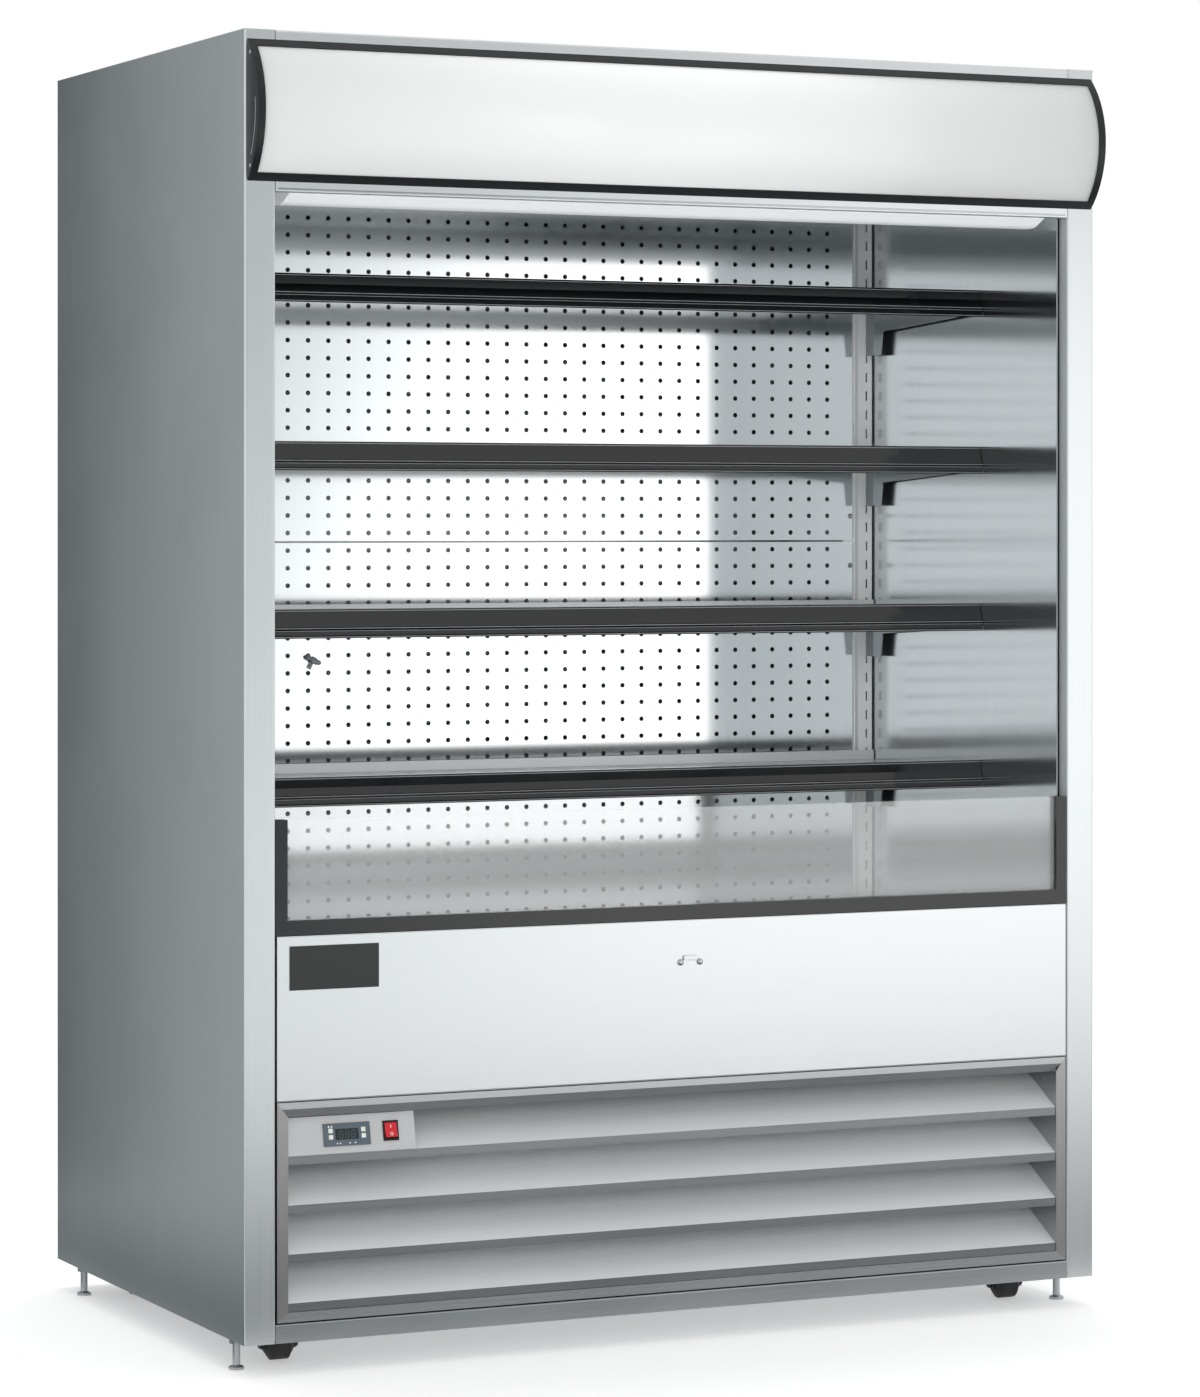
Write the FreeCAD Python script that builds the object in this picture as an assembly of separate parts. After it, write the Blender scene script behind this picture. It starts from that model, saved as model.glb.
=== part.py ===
"""Open multideck display fridge, 1500 wide, 900 deep and 2050 high on its feet.

Millimetres. X runs to the right seen from the front, Z runs up from the floor. While the
pieces are drawn, Y = 0 is the front plane of the casing and Y grows towards the back panel;
save() then moves everything so that the origin lies under the middle of the whole part.
"""
import FreeCAD, Part
import math
import os

os.makedirs("parts", exist_ok=True)

# ---------------------------------------------------------------- driving dimensions
width = 1500.0  # over the two side panels
depth = 900.0  # front plane to back panel
casing_height = 2000.0  # underside of the casing to the roof
ground_clearance = 50.0  # floor to the underside of the casing
wall = 50.0  # insulated walls, and the width of the front jambs
outer_sheet = 1.2  # stainless casing sheet
inner_sheet = 1.0  # stainless liner sheet
bend = 1.5  # inside radius of a folded edge
fit = 0.3  # gap left between pieces that are screwed or laid together
running = 0.05  # radial gap of a pin turning in its hole

jamb_return = 25.0  # depth of the jamb's fold into the mouth
liner_inset = 7.0  # side liners' faces inside the jambs' folds
liner_setback = 22.4  # front edge of the side liners
liner_hem = 2.3  # thickness of the hem on that edge
hem_depth = 5.0
foam_setback = 45.0  # front of the side and roof foam, out of sight behind the jambs
rear_flange = 20.0  # side panel's fold behind the back panel's edge
roof_lip = 15.0  # strip of the roof panel seen above the canopy

rail_height = 26.0  # box rails of the base frame
rail_width = 40.0
rail_wall = 2.0
pan_sheet = 1.8
post_width = 17.0  # angle posts that carry the front panels
post_depth = 20.0
front_skin_depth = 22.0  # depth of the folded front panels

bottom_rail_gap = 2.0
louvre_height = 335.0
front_panel_height = 253.4
riser_glass_height = 176.5  # riser frame's foot to the top edge of the glass
well_floor_height = 366.0  # underside of the well's insulated floor above the casing's underside
well_wall_height = 134.0
deck_level = 575.0  # deck's top above the casing's underside

canopy_height = 216.0  # chord of the lit canopy, below the roof's strip
canopy_bulge = 48.0
canopy_inset = 4.5
canopy_band = 16.0
canopy_end_band = 12.0
canopy_skin = 8.0
acrylic = 3.0
fascia_drop = 15.5  # fascia showing below the canopy
ceiling_drop = 140.0  # liner's roof to the ceiling panel

duct_depth = 185.0  # air duct between the perforated panels and the foam
rear_panel_gap = 3.0  # each side, to the upright
seam_height = 642.0  # seam of the two rear panels above the deck
upright_step = 11.0  # uprights' faces in front of the perforated panels
upright_gap = 3.0  # upright to the side liner
upright_width = 28.0
upright_sheet = 2.0
slot_edge = 11.0  # slots' centre line to the upright's outer edge
slot_pitch = 33.44
slot_width = 3.0
slot_height = 16.5

shelf_count = 4
top_shelf_drop = 163.0  # ceiling to the price rail of the top shelf
lowest_bay = 265.0  # least height from the deck to the lowest price rail
shelf_gap = 2.0  # shelf's end to the side liner
rail_gap = 0.8  # price rail's end to the side liner
shelf_clearance = 4.0  # shelf's rear edge to the uprights
shelf_depth = 365.0
shelf_sheet = 1.2
shelf_recess = 17.0  # deck below the rail's top edge
bracket_sheet = 2.5

louvre_count = 4
louvre_pitch = 74.67
louvre_lip = 13.0
louvre_reach = 97.0
louvre_rise = 52.0
louvre_side = 18.0
louvre_bottom = 15.0
louvre_top = 23.0
control_lean = 12.0
control_width = 233.0  # from the mouth's left edge to the end of the leaning plate

foot_margin = 19.0  # from the side panel's face
foot_y = 86.0
foot_radius = 12.0
foot_pad = 7.0
stud_radius = 6.0
nut_flats = 20.0
nut_height = 10.0

caster_margin = 100.0  # from the side panel's face
front_caster_y = 138.0  # swivel axis
rear_caster_margin = 110.0  # rear casters' upright axis to the back panel
caster_trail = 18.0
wheel_radius = 25.0
wheel_width = 46.0
wheel_lift = 3.0  # the feet carry the load, so the wheels hang just off the floor
axle_radius = 4.0

# ---------------------------------------------------------------- levels and planes
casing_bottom = ground_clearance
casing_top = casing_bottom + casing_height
half = width / 2
mouth = half - wall  # half width of the display opening
liner_half = mouth - liner_inset  # half width between the side liners
pan_level = casing_bottom + rail_height
pan_top = pan_level + pan_sheet
rail_front = jamb_return + 1.0
inside = half - outer_sheet  # inner face of a side panel's skin
louvre_foot = pan_top + outer_sheet + bottom_rail_gap
louvre_head = louvre_foot + louvre_height
panel_foot = louvre_head + 2 * fit
panel_head = panel_foot + front_panel_height
riser_foot = panel_head + fit
riser_head = riser_foot + riser_glass_height
front_half = mouth - 3.0  # half width of the louvre frame and of the lower front panel
post_outer = front_half + 1.0
post_inner = post_outer - post_width
post_back = front_skin_depth + post_depth
well_bottom = casing_bottom + well_floor_height
well_floor = well_bottom + wall
well_wall_top = well_floor + well_wall_height
deck_top = casing_bottom + deck_level
liner_top = casing_top - wall
back_foam_front = depth - wall
ceiling = liner_top - ceiling_drop
arc_high = casing_top - roof_lip
arc_low = arc_high - canopy_height
canopy_half = half - canopy_inset
foot_x = half - foot_margin
caster_x = half - caster_margin
rear_caster_y = depth - rear_caster_margin
rear_panel_plane = back_foam_front - duct_depth
upright_plane = rear_panel_plane - upright_step
upright_outer = liner_half - upright_gap
upright_inner = upright_outer - upright_width
slot_x = upright_outer - slot_edge
rear_panel_half = upright_inner - rear_panel_gap
shelf_half = liner_half - shelf_gap
rail_half = liner_half - rail_gap
shelf_rear = upright_plane - shelf_clearance
shelf_front = shelf_rear - shelf_depth
shelf_room = ceiling - top_shelf_drop - deck_top - lowest_bay
shelf_slots = int(shelf_room / (slot_pitch * (shelf_count - 1)))  # upright slots from shelf to shelf
rail_tops = [ceiling - top_shelf_drop - i * shelf_slots * slot_pitch for i in range(shelf_count)]

V = FreeCAD.Vector


# ---------------------------------------------------------------- drawing helpers
def on_plane(plane, a, b):
    """A point of a drawing plane: YZ sections run along X, XY along Z, XZ along Y."""
    if plane == "YZ":
        return V(0, a, b)
    if plane == "XY":
        return V(a, b, 0)
    return V(a, 0, b)


def along(plane, distance):
    """The step of that length square to the drawing plane."""
    if plane == "YZ":
        return V(distance, 0, 0)
    if plane == "XY":
        return V(0, 0, distance)
    return V(0, distance, 0)


def outline(plane, points, radii):
    """A closed wire through points whose corners are rounded by the radius given for each."""
    count = len(points)
    starts, middles, ends = [], [], []
    for i in range(count):
        corner = V(points[i][0], points[i][1], 0)
        back = V(points[i - 1][0], points[i - 1][1], 0) - corner
        ahead = V(points[(i + 1) % count][0], points[(i + 1) % count][1], 0) - corner
        back.normalize()
        ahead.normalize()
        radius = radii[i]
        opening = back.getAngle(ahead)
        if radius <= 0 or opening > math.pi - 0.01:
            starts.append(corner)
            middles.append(None)
            ends.append(corner)
            continue
        reach = radius / math.tan(opening / 2)
        inward = back + ahead
        inward.normalize()
        starts.append(corner + back * reach)
        middles.append(corner + inward * (radius / math.sin(opening / 2) - radius))
        ends.append(corner + ahead * reach)
    edges = []
    for i in range(count):
        after = (i + 1) % count
        if middles[i] is not None:
            three = [on_plane(plane, p.x, p.y) for p in (starts[i], middles[i], ends[i])]
            edges.append(Part.Arc(*three).toShape())
        if (starts[after] - ends[i]).Length > 1e-6:
            run = [on_plane(plane, p.x, p.y) for p in (ends[i], starts[after])]
            edges.append(Part.LineSegment(*run).toShape())
    return Part.Wire(edges)


def prism(plane, points, start, end, radii=None):
    """A rounded outline run from start to end, square to its plane."""
    wire = outline(plane, points, radii or [0] * len(points))
    wire.translate(along(plane, start))
    return Part.Face(wire).extrude(along(plane, end - start))


def folded(plane, line, sheet, start, end, radius=0.0):
    """Sheet metal folded along a line, its thickness on the left of the line's direction."""
    steps = []
    for i in range(len(line) - 1):
        step = V(line[i + 1][0] - line[i][0], line[i + 1][1] - line[i][1], 0)
        step.normalize()
        steps.append(step)
    near, far, near_radii, far_radii = [], [], [], []
    for i, (a, b) in enumerate(line):
        before = steps[max(i - 1, 0)]
        after = steps[min(i, len(steps) - 1)]
        side_before = V(-before.y, before.x, 0)
        side_after = V(-after.y, after.x, 0)
        shift = (side_before + side_after) * (sheet / (1 + side_before.dot(side_after)))
        turn = before.cross(after).z
        bent = radius > 0 and abs(turn) > 0.01
        near.append((a, b))
        far.append((a + shift.x, b + shift.y))
        near_radii.append((radius + (sheet if turn > 0 else 0)) if bent else 0)
        far_radii.append((radius + (sheet if turn < 0 else 0)) if bent else 0)
    return prism(plane, near + far[::-1], start, end, near_radii + far_radii[::-1])


def block(x0, x1, y0, y1, z0, z1):
    return Part.makeBox(x1 - x0, y1 - y0, z1 - z0, V(x0, y0, z0))


def rod(centre, direction, radius, length):
    return Part.makeCylinder(radius, length, V(*centre), V(*direction))


def faceted(centre, axis, radius, length, sides):
    """A many-sided rod along Y or Z, for nuts, bolt heads and small mouldings."""
    step = 2 * math.pi / sides
    ring = [(radius * math.cos(i * step), radius * math.sin(i * step)) for i in range(sides)]
    plane = {"X": "YZ", "Y": "XZ", "Z": "XY"}[axis]
    shape = prism(plane, ring, 0, length)
    shape.translate(V(*centre))
    return shape


def skinned(rings):
    """A closed solid of flat triangles through rings of as many points each, with flat ends."""
    faces = [Part.Face(Part.makePolygon(ring + ring[:1])) for ring in (rings[0], rings[-1])]
    for low, high in zip(rings, rings[1:]):
        for i in range(len(low)):
            j = (i + 1) % len(low)
            for corners in ((low[i], low[j], high[j]), (low[i], high[j], high[i])):
                faces.append(Part.Face(Part.makePolygon([*corners, corners[0]])))
    solid = Part.Solid(Part.Shell(faces))
    if solid.Volume < 0:
        solid.reverse()
    return solid.removeSplitter()


def turned(stations, sides):
    """A many-sided turned form about Z through (height, radius) stations."""
    step = 2 * math.pi / sides
    rings = []
    for height, radius in stations:
        turns = [(math.cos(i * step), math.sin(i * step)) for i in range(sides)]
        rings.append([V(radius * a, radius * b, height) for a, b in turns])
    return skinned(rings)


def mirrored(shape):
    return shape.mirror(V(0, 0, 0), V(1, 0, 0))


def both_sides(shapes):
    return list(shapes) + [mirrored(s) for s in shapes]


def joined(*shapes):
    result = shapes[0]
    for shape in shapes[1:]:
        result = result.fuse(shape)
    return result.removeSplitter()


def save(name, *solids):
    """Writes one node, moved so that the origin is under the middle of the whole part."""
    shape = solids[0] if len(solids) == 1 else Part.makeCompound(list(solids))
    shape = shape.copy()
    shape.translate(V(0, (canopy_bulge - depth) / 2, 0))
    shape.exportStep("parts/" + name + ".step")


# ---------------------------------------------------------------- casing
def side_panel():
    """Left side: one folded sheet makes the skin, the front jamb and the rear flange."""
    line = [
        (-half + rear_flange, depth),
        (-half, depth),
        (-half, 0),
        (-mouth, 0),
        (-mouth, jamb_return),
    ]
    return folded("XY", line, outer_sheet, casing_bottom, casing_top - outer_sheet, bend)


def roof_panel():
    line = [
        (0, casing_top - roof_lip),
        (0, casing_top),
        (depth, casing_top),
        (depth, casing_top - wall + roof_lip),
    ]
    inner = mouth - fit
    tray = folded("YZ", line[::-1], outer_sheet, -inner, inner, bend)
    wings = both_sides([block(inner, half, 0, depth, casing_top - outer_sheet, casing_top)])
    return joined(tray, *wings)


vent_count = 12
vent_length = 90.0
vent_height = 10.0
vent_pitch = 24.0
cable_hole_radius = 11.0


def back_panel():
    """Rear sheet with two columns of vents level with the machine compartment."""
    edge = half - rear_flange - fit
    head = casing_top - wall + roof_lip - fit
    sheet = block(-edge, edge, depth - outer_sheet, depth, casing_bottom, head)
    first = pan_top + vent_pitch
    for column in (-1, 1):
        for i in range(vent_count):
            x = column * (vent_length + 2 * vent_height)
            z = first + i * vent_pitch
            left, right = x - vent_length, x + vent_length
            sheet = sheet.cut(block(left, right, depth - 2 * outer_sheet, depth + 1, z, z + vent_height))
    exit_centre = (edge - 6 * cable_hole_radius, depth - 2 * outer_sheet, first)
    return sheet.cut(rod(exit_centre, (0, 1, 0), cable_hole_radius, 4 * outer_sheet))


foam_side = liner_half + inner_sheet  # foam's face behind a side liner


def insulation():
    """Six foam slabs: floor, front wall, rear wall, roof and the two side walls."""
    skin_back = depth - outer_sheet
    roof_under = casing_top - outer_sheet
    corner = bend  # keeps the slabs clear of the rounded folds at the rear corners
    floor = block(-inside, inside, post_back, skin_back - corner, well_bottom, well_floor)
    front = block(-liner_half, liner_half, post_back, post_back + rail_width, well_floor, well_wall_top)
    back = block(corner - inside, inside - corner, back_foam_front, skin_back, well_floor, liner_top)
    roof = block(-inside, inside, foam_setback, skin_back - corner, liner_top, roof_under)
    sides = both_sides([block(foam_side, inside, foam_setback, back_foam_front, well_floor, liner_top)])
    return [floor, front, back, roof] + sides


deck_ledge = 20.0


def inner_liner():
    """Side, back, roof and floor sheets, the front wall's cover and the deck's two ledges."""
    t = inner_sheet
    edge = liner_half
    low = well_floor + t
    high = liner_top - t
    back_end = back_foam_front - t
    hem = block(edge, edge + liner_hem, liner_setback, liner_setback + hem_depth, riser_foot, high)
    display_side = block(edge, edge + t, liner_setback, back_end, riser_foot, high)
    well_side = block(edge, edge + t, post_back + fit, back_end, low, riser_foot)
    side = joined(display_side, well_side, hem)
    ledge_line = [
        (edge, deck_top - shelf_sheet - deck_ledge),
        (edge, deck_top - shelf_sheet),
        (edge - deck_ledge, deck_top - shelf_sheet),
    ]
    ledge = folded("XZ", ledge_line, shelf_sheet, deck_front + 2 * shelf_sheet + bend, shelf_rear)
    back = block(-edge, edge, back_end, back_foam_front, low, high)
    roof = block(-foam_side, foam_side, foam_setback, back_foam_front, high, liner_top)
    wall_back = post_back + rail_width
    floor = block(-foam_side, foam_side, wall_back, back_foam_front, well_floor, low)
    front = block(-edge, edge, wall_back, wall_back + t, low, well_wall_top)
    cap = block(-edge, edge, post_back, wall_back + t, well_wall_top, well_wall_top + t)
    return both_sides([side, ledge]) + [back, roof, floor, front, cap]


# ---------------------------------------------------------------- base frame, feet and casters
caster_plate = 3.0
caster_plate_half = 40.0
caster_plate_depth = 35.0  # half its length
pivot_radius = 5.0
stud_top = pan_level - 6.0


def box_rail(x0, x1, y0, y1, lengthwise):
    outer = block(x0, x1, y0, y1, casing_bottom, pan_level)
    w = rail_wall
    if lengthwise:
        return outer.cut(block(x0 + w, x1 - w, y0 - 1, y1 + 1, casing_bottom + w, pan_level - w))
    return outer.cut(block(x0 - 1, x1 + 1, y0 + w, y1 - w, casing_bottom + w, pan_level - w))


def base_frame():
    """Pan on two side rails and two cross rails, with caster plates, foot nuts and front posts."""
    back = depth - outer_sheet - bend
    rail_outer = inside - fit
    rail_inner = rail_outer - rail_width
    cross = rail_width - 10.0
    pan = block(-rail_outer, rail_outer, rail_front, back, pan_level, pan_top)
    side_rail = box_rail(rail_inner, rail_outer, rail_front, back, True)
    nuts = []
    for y in (foot_y, depth - foot_y):
        nut_foot = casing_bottom - nut_height
        hole = rod((foot_x, y, nut_foot - 1), (0, 0, 1), stud_radius + running, nut_height + 2)
        clearance = faceted((foot_x, y, casing_bottom - 1), "Z", stud_radius + 2 * fit, rail_wall + 2, 8)
        corner = nut_flats / math.sqrt(3)
        nut = faceted((foot_x, y, nut_foot), "Z", corner, nut_height, 6)
        side_rail = side_rail.cut(clearance)
        nuts.append(nut.cut(hole))
    plates = []
    for y in (front_caster_y, rear_caster_y):
        plate = block(caster_x - caster_plate_half, caster_x + caster_plate_half, y - caster_plate_depth,
                      y + caster_plate_depth, pan_level - caster_plate, pan_level)
        if y == front_caster_y:
            plate = plate.cut(rod((caster_x, y, pan_level - 10), (0, 0, 1), pivot_radius + running, 20))
            clearance = faceted((caster_x, y, pan_level - 1), "Z", pivot_radius + 2 * fit, pan_sheet + 2, 8)
            pan = pan.cut(clearance).cut(mirrored(clearance))
        plates.append(plate)
    front_cross = box_rail(-rail_inner, rail_inner, rail_front, rail_front + cross, False)
    rear_cross = box_rail(-rail_inner, rail_inner, back - cross, back, False)
    post_line = [
        (post_inner, front_skin_depth),
        (post_outer, front_skin_depth),
        (post_outer, post_back),
    ]
    post = folded("XY", post_line, rail_wall, pan_top + outer_sheet, panel_head)
    return [pan, front_cross, rear_cross] + both_sides([side_rail, post] + nuts + plates)


def foot(x, y):
    """Levelling foot: a threaded stud on a turned pad."""
    shoulder = foot_pad - 3
    stations = [(0, foot_radius), (shoulder, foot_radius), (foot_pad, stud_radius), (stud_top, stud_radius)]
    shape = turned(stations, 24)
    shape.translate(V(x, y, 0))
    return shape


fork_sheet = 3.0
fork_gap = 1.5
fork_front = 24.0  # crown's reach before and behind the pivot
fork_rear = 20.0
fork_skirt = 14.0
fork_shoulder = 12.0
axle_boss = 9.0
boss_drop = 8.0
crown_level = 62.0
axle_level = wheel_radius + wheel_lift


def caster_fork(x, pivot_y, swivels):
    """Pressed fork with its axle bolt; a swivelling one has a ball race and a king pin."""
    side = wheel_width / 2 + fork_gap
    axle_y = pivot_y - caster_trail
    leg = [
        (pivot_y - fork_front, crown_level + fork_sheet), (pivot_y + fork_rear, crown_level + fork_sheet),
        (pivot_y + fork_skirt, crown_level - fork_skirt), (axle_y + axle_boss, axle_level - boss_drop),
        (axle_y - axle_boss, axle_level - boss_drop), (axle_y - fork_shoulder, axle_level + fork_shoulder),
    ]
    leg_radii = [0, 0, 0, 7, 7, 0]
    legs = [
        prism("YZ", leg, side, side + fork_sheet, leg_radii),
        prism("YZ", leg, -side - fork_sheet, -side, leg_radii),
    ]
    front, rear = pivot_y - fork_front + fork_sheet, pivot_y + fork_rear - fork_sheet
    crown = block(-side - 1, side + 1, front, rear, crown_level, crown_level + fork_sheet)
    axle_end = side + fork_sheet + 4
    axle = rod((-axle_end, axle_y, axle_level), (1, 0, 0), axle_radius, 2 * axle_end)
    heads = [faceted((s * (side + fork_sheet + 2) - 2, axle_y, axle_level), "X", axle_radius * 1.8, 4, 6)
             for s in (-1, 1)]
    plate_under = pan_level - caster_plate
    race_base = crown_level + fork_sheet
    if swivels:
        race = faceted((0, pivot_y, race_base), "Z", 15, plate_under - fit - race_base, 16)
        pin = rod((0, pivot_y, race_base), (0, 0, 1), pivot_radius, pan_top + fit + 2 - race_base)
        head = faceted((0, pivot_y, pan_top + fit), "Z", pivot_radius * 1.7, 2, 8)
        extra = [race, pin, head]
    else:
        extra = [block(-side, side, front + 4, rear - 4, race_base, plate_under)]
    shape = joined(legs[0], legs[1], crown, axle, *heads, *extra)
    shape.translate(V(x, 0, 0))
    return shape


def caster_wheel(x, pivot_y):
    """Barrel wheel: a flat tread with shoulders that slope down to the hub at each side."""
    hub = axle_radius + 8
    half_width = wheel_width / 2
    tread = wheel_width * 0.29
    stations = [(-half_width, hub), (-tread, wheel_radius), (tread, wheel_radius), (half_width, hub)]
    shape = turned(stations, 36)
    shape = shape.cut(rod((0, 0, -half_width - 1), (0, 0, 1), axle_radius + running, wheel_width + 2))
    shape.rotate(V(0, 0, 0), V(0, 1, 0), 90)
    shape.translate(V(x, pivot_y - caster_trail, axle_level))
    return shape


# ---------------------------------------------------------------- front skins
def bottom_rail():
    line = [(rail_front + 14, pan_top), (0, pan_top), (0, casing_bottom)]
    raised = [(a, b + outer_sheet) if b > casing_bottom else (a, b) for a, b in line]
    return folded("YZ", raised, outer_sheet, -mouth + fit, mouth - fit, bend)


def lower_front_panel():
    """Folded pan with flanges on all four edges, screwed to the front posts."""
    d = front_skin_depth
    line = [(d, panel_head), (0, panel_head), (0, panel_foot), (d, panel_foot)]
    pan = folded("YZ", line, outer_sheet, -front_half, front_half, bend)
    sides = both_sides([block(front_half - outer_sheet, front_half, bend, d, panel_foot + 1, panel_head - 1)])
    return joined(pan, *sides)


def mitre_cutter(inner_z, outer_z, for_side_bar):
    """Wedge on one side of the mitre line of the louvre frame's right-hand corner."""
    inner_x = front_half - louvre_side
    far_x = front_half + 2 * louvre_side
    far_z = inner_z + (outer_z - inner_z) * (far_x - inner_x) / louvre_side
    near_x = inner_x - louvre_side
    near_z = inner_z - (outer_z - inner_z)
    third = (near_x, far_z) if for_side_bar else (far_x, near_z)
    return prism("XZ", [(near_x, near_z), (far_x, far_z), third], -1, cheek + 5)


cheek = 100.0  # depth of the plates that carry the slats


def louvre_frame():
    """Mitred frame; its side bars fold back into the cheeks that carry the slats."""
    t = outer_sheet
    outer = front_half
    inner = outer - louvre_side
    low_in = louvre_foot + louvre_bottom
    high_in = louvre_head - louvre_top
    side_line = [(outer, front_skin_depth), (outer, 0), (inner, 0), (inner, cheek)]
    side = folded("XY", side_line[::-1], t, louvre_foot, louvre_head, 0)
    side = side.cut(mitre_cutter(high_in, louvre_head, True)).cut(mitre_cutter(low_in, louvre_foot, True))
    top_line = [
        (front_skin_depth, louvre_head), (0, louvre_head), (0, louvre_head - louvre_top * 0.45),
        (5, high_in), (front_skin_depth, high_in),
    ]
    top = folded("YZ", top_line, t, -outer, outer, 0)
    low_line = [(front_skin_depth, low_in), (0, low_in), (0, louvre_foot), (front_skin_depth, louvre_foot)]
    low = folded("YZ", low_line, t, -outer, outer, 0)
    for end in both_sides([mitre_cutter(high_in, louvre_head, False)]):
        top = top.cut(end)
    for end in both_sides([mitre_cutter(low_in, louvre_foot, False)]):
        low = low.cut(end)
    return [top, low] + both_sides([side])


slat_front = 1.5
slat_half = front_half - louvre_side - fit
control_foot = louvre_foot + louvre_bottom + 0.5 + louvre_lip + (louvre_count - 1) * louvre_pitch


def slat(front_level):
    """Sloping slat with a plain front lip turned back under."""
    line = [
        (slat_front + louvre_reach, front_level + louvre_rise), (slat_front, front_level),
        (slat_front, front_level - louvre_lip), (slat_front + 7, front_level - louvre_lip),
    ]
    return folded("YZ", line, outer_sheet, -slat_half, slat_half)


def on_control_plate(shape):
    """From the control plate's own frame (Z up the plate, -Y out of it) to its leaning place."""
    placed = shape.copy()
    placed.rotate(V(0, 0, 0), V(1, 0, 0), -control_lean)
    placed.translate(V(0, slat_front, control_foot + fit))
    return placed


control_end = control_width - mouth
controller_x = 119.5 - mouth
controller_up = 28.3
controller_bezel = (77.0, 35.0, 2.5)  # width, height, thickness in front of the plate
controller_body = (71.0, 29.0, 45.0)
switch_x = controller_x + 73.0
switch_up = 29.9
switch_bezel = (25.5, 31.0, 2.0)
switch_body = (21.9, 27.6, 28.0)


def cut_out(x, up, body):
    reach = body[0] / 2 + fit
    rise = body[1] / 2 + fit
    return block(x - reach, x + reach, -5, 60, up - rise, up + rise)


def louvre_slats():
    """Four slats; the top one gives way on the left to the steep plate of the controls."""
    levels = [control_foot - i * louvre_pitch for i in range(louvre_count)]
    slats = [slat(level) for level in levels]
    left, right = -slat_half - 1, control_end + fit
    notch = block(left, right, slat_front + outer_sheet, 2 * cheek, control_foot - 3, louvre_head)
    step = block(left, right, 0, 2 * cheek, control_foot, louvre_head)
    slats[0] = slats[0].cut(notch).cut(step)
    up = (louvre_head - louvre_top - control_foot - 2 * outer_sheet) / math.cos(math.radians(control_lean))
    plate = folded("YZ", [(24, up), (0, up), (0, 0)], outer_sheet, -slat_half, control_end)
    plate = plate.cut(cut_out(controller_x, controller_up, controller_body))
    plate = plate.cut(cut_out(switch_x, switch_up, switch_body))
    return slats + [on_control_plate(plate)]


key_size = 7.0
key_gap = 0.3
key_spread = 27.0
key_rows = (6.2, -3.5)
key_places = [(column * key_spread, row) for column in (-1, 1) for row in key_rows]


def controller_housing():
    w, h, t = controller_bezel
    bezel_points = [(-w / 2, -h / 2), (w / 2, -h / 2), (w / 2, h / 2), (-w / 2, h / 2)]
    shape = prism("XZ", bezel_points, -t, 0)
    bw, bh, deep = controller_body
    shape = joined(shape, block(-bw / 2, bw / 2, 0, deep, -bh / 2, bh / 2))
    pocket = key_size / 2 + key_gap
    for x, z in key_places:
        shape = shape.cut(block(x - pocket, x + pocket, -t - 1, 1.5, z - pocket, z + pocket))
    window = block(-20, 19, -t - 1, -t + 0.8, -8, 9)
    shape = shape.cut(window)
    shape.translate(V(controller_x, 0, controller_up))
    return on_control_plate(shape)


def controller_key(x, z):
    t = controller_bezel[2]
    s = key_size / 2
    points = [(x - s, z - s), (x + s, z - s), (x + s, z + s), (x - s, z + s)]
    shape = prism("XZ", points, -t - 0.8, 0.2)
    shape.translate(V(controller_x, 0, controller_up))
    return on_control_plate(shape)


rocker_half = 11.4
rocker_swing = 9.0
rocker_axis_depth = 1.0
rocker_width = 19.4


def switch_housing():
    w, h, t = switch_bezel
    points = [(-w / 2, -h / 2), (w / 2, -h / 2), (w / 2, h / 2), (-w / 2, h / 2)]
    shape = prism("XZ", points, -t, 0)
    bw, bh, deep = switch_body
    shape = joined(shape, block(-bw / 2, bw / 2, 0, deep, -bh / 2, bh / 2))
    gap_x = rocker_width / 2 + fit
    gap_z = rocker_half + 1.2
    shape = shape.cut(block(-gap_x, gap_x, -t - 1, 9, -gap_z, gap_z))
    shape = shape.cut(rod((-gap_x - 0.8, rocker_axis_depth, 0), (1, 0, 0), 1 + running, 2 * gap_x + 1.6))
    shape.translate(V(switch_x, 0, switch_up))
    return on_control_plate(shape)


def switch_rocker():
    """Rocker with a shallow V face, tipped so that its upper half is pressed in."""
    a = rocker_axis_depth
    section = [
        (-4.2, -rocker_half), (-2.6, 0), (-4.2, rocker_half),
        (2, rocker_half - 1), (6.5, 0), (2, 1 - rocker_half),
    ]
    shape = prism("YZ", section, -rocker_width / 2, rocker_width / 2, [0, 4, 0, 0, 0, 0])
    pin_reach = rocker_width / 2 + fit + 0.6
    shape = joined(shape, rod((-pin_reach, a, 0), (1, 0, 0), 1, 2 * pin_reach))
    shape.rotate(V(0, a, 0), V(1, 0, 0), -rocker_swing)
    shape.translate(V(switch_x, 0, switch_up))
    return on_control_plate(shape)


# ---------------------------------------------------------------- glass riser
riser_bar = 20.0
riser_foot_bar = 23.0
riser_depth = 21.0
riser_front = 0.5
glass = 6.0
glass_front = 8.0
glass_tuck = 11.0


def riser_glass():
    edge = mouth - fit - riser_bar + glass_tuck
    foot_z = riser_foot + riser_foot_bar - glass_tuck
    return block(-edge, edge, glass_front, glass_front + glass, foot_z, riser_head)


def riser_frame():
    """Three black bars, mitred at the lower corners and grooved for the glass."""
    outer = mouth - fit
    inner = outer - riser_bar
    foot_top = riser_foot + riser_foot_bar
    back = riser_front + riser_depth
    groove = riser_glass_groove()
    side_points = [(inner, foot_top), (inner, riser_head), (outer, riser_head), (outer, riser_foot)]
    side = prism("XZ", side_points, riser_front, back).cut(groove)
    low_points = [(-outer, riser_foot), (outer, riser_foot), (inner, foot_top), (-inner, foot_top)]
    low = prism("XZ", low_points, riser_front, back).cut(groove)
    return [low] + both_sides([side])


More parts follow.
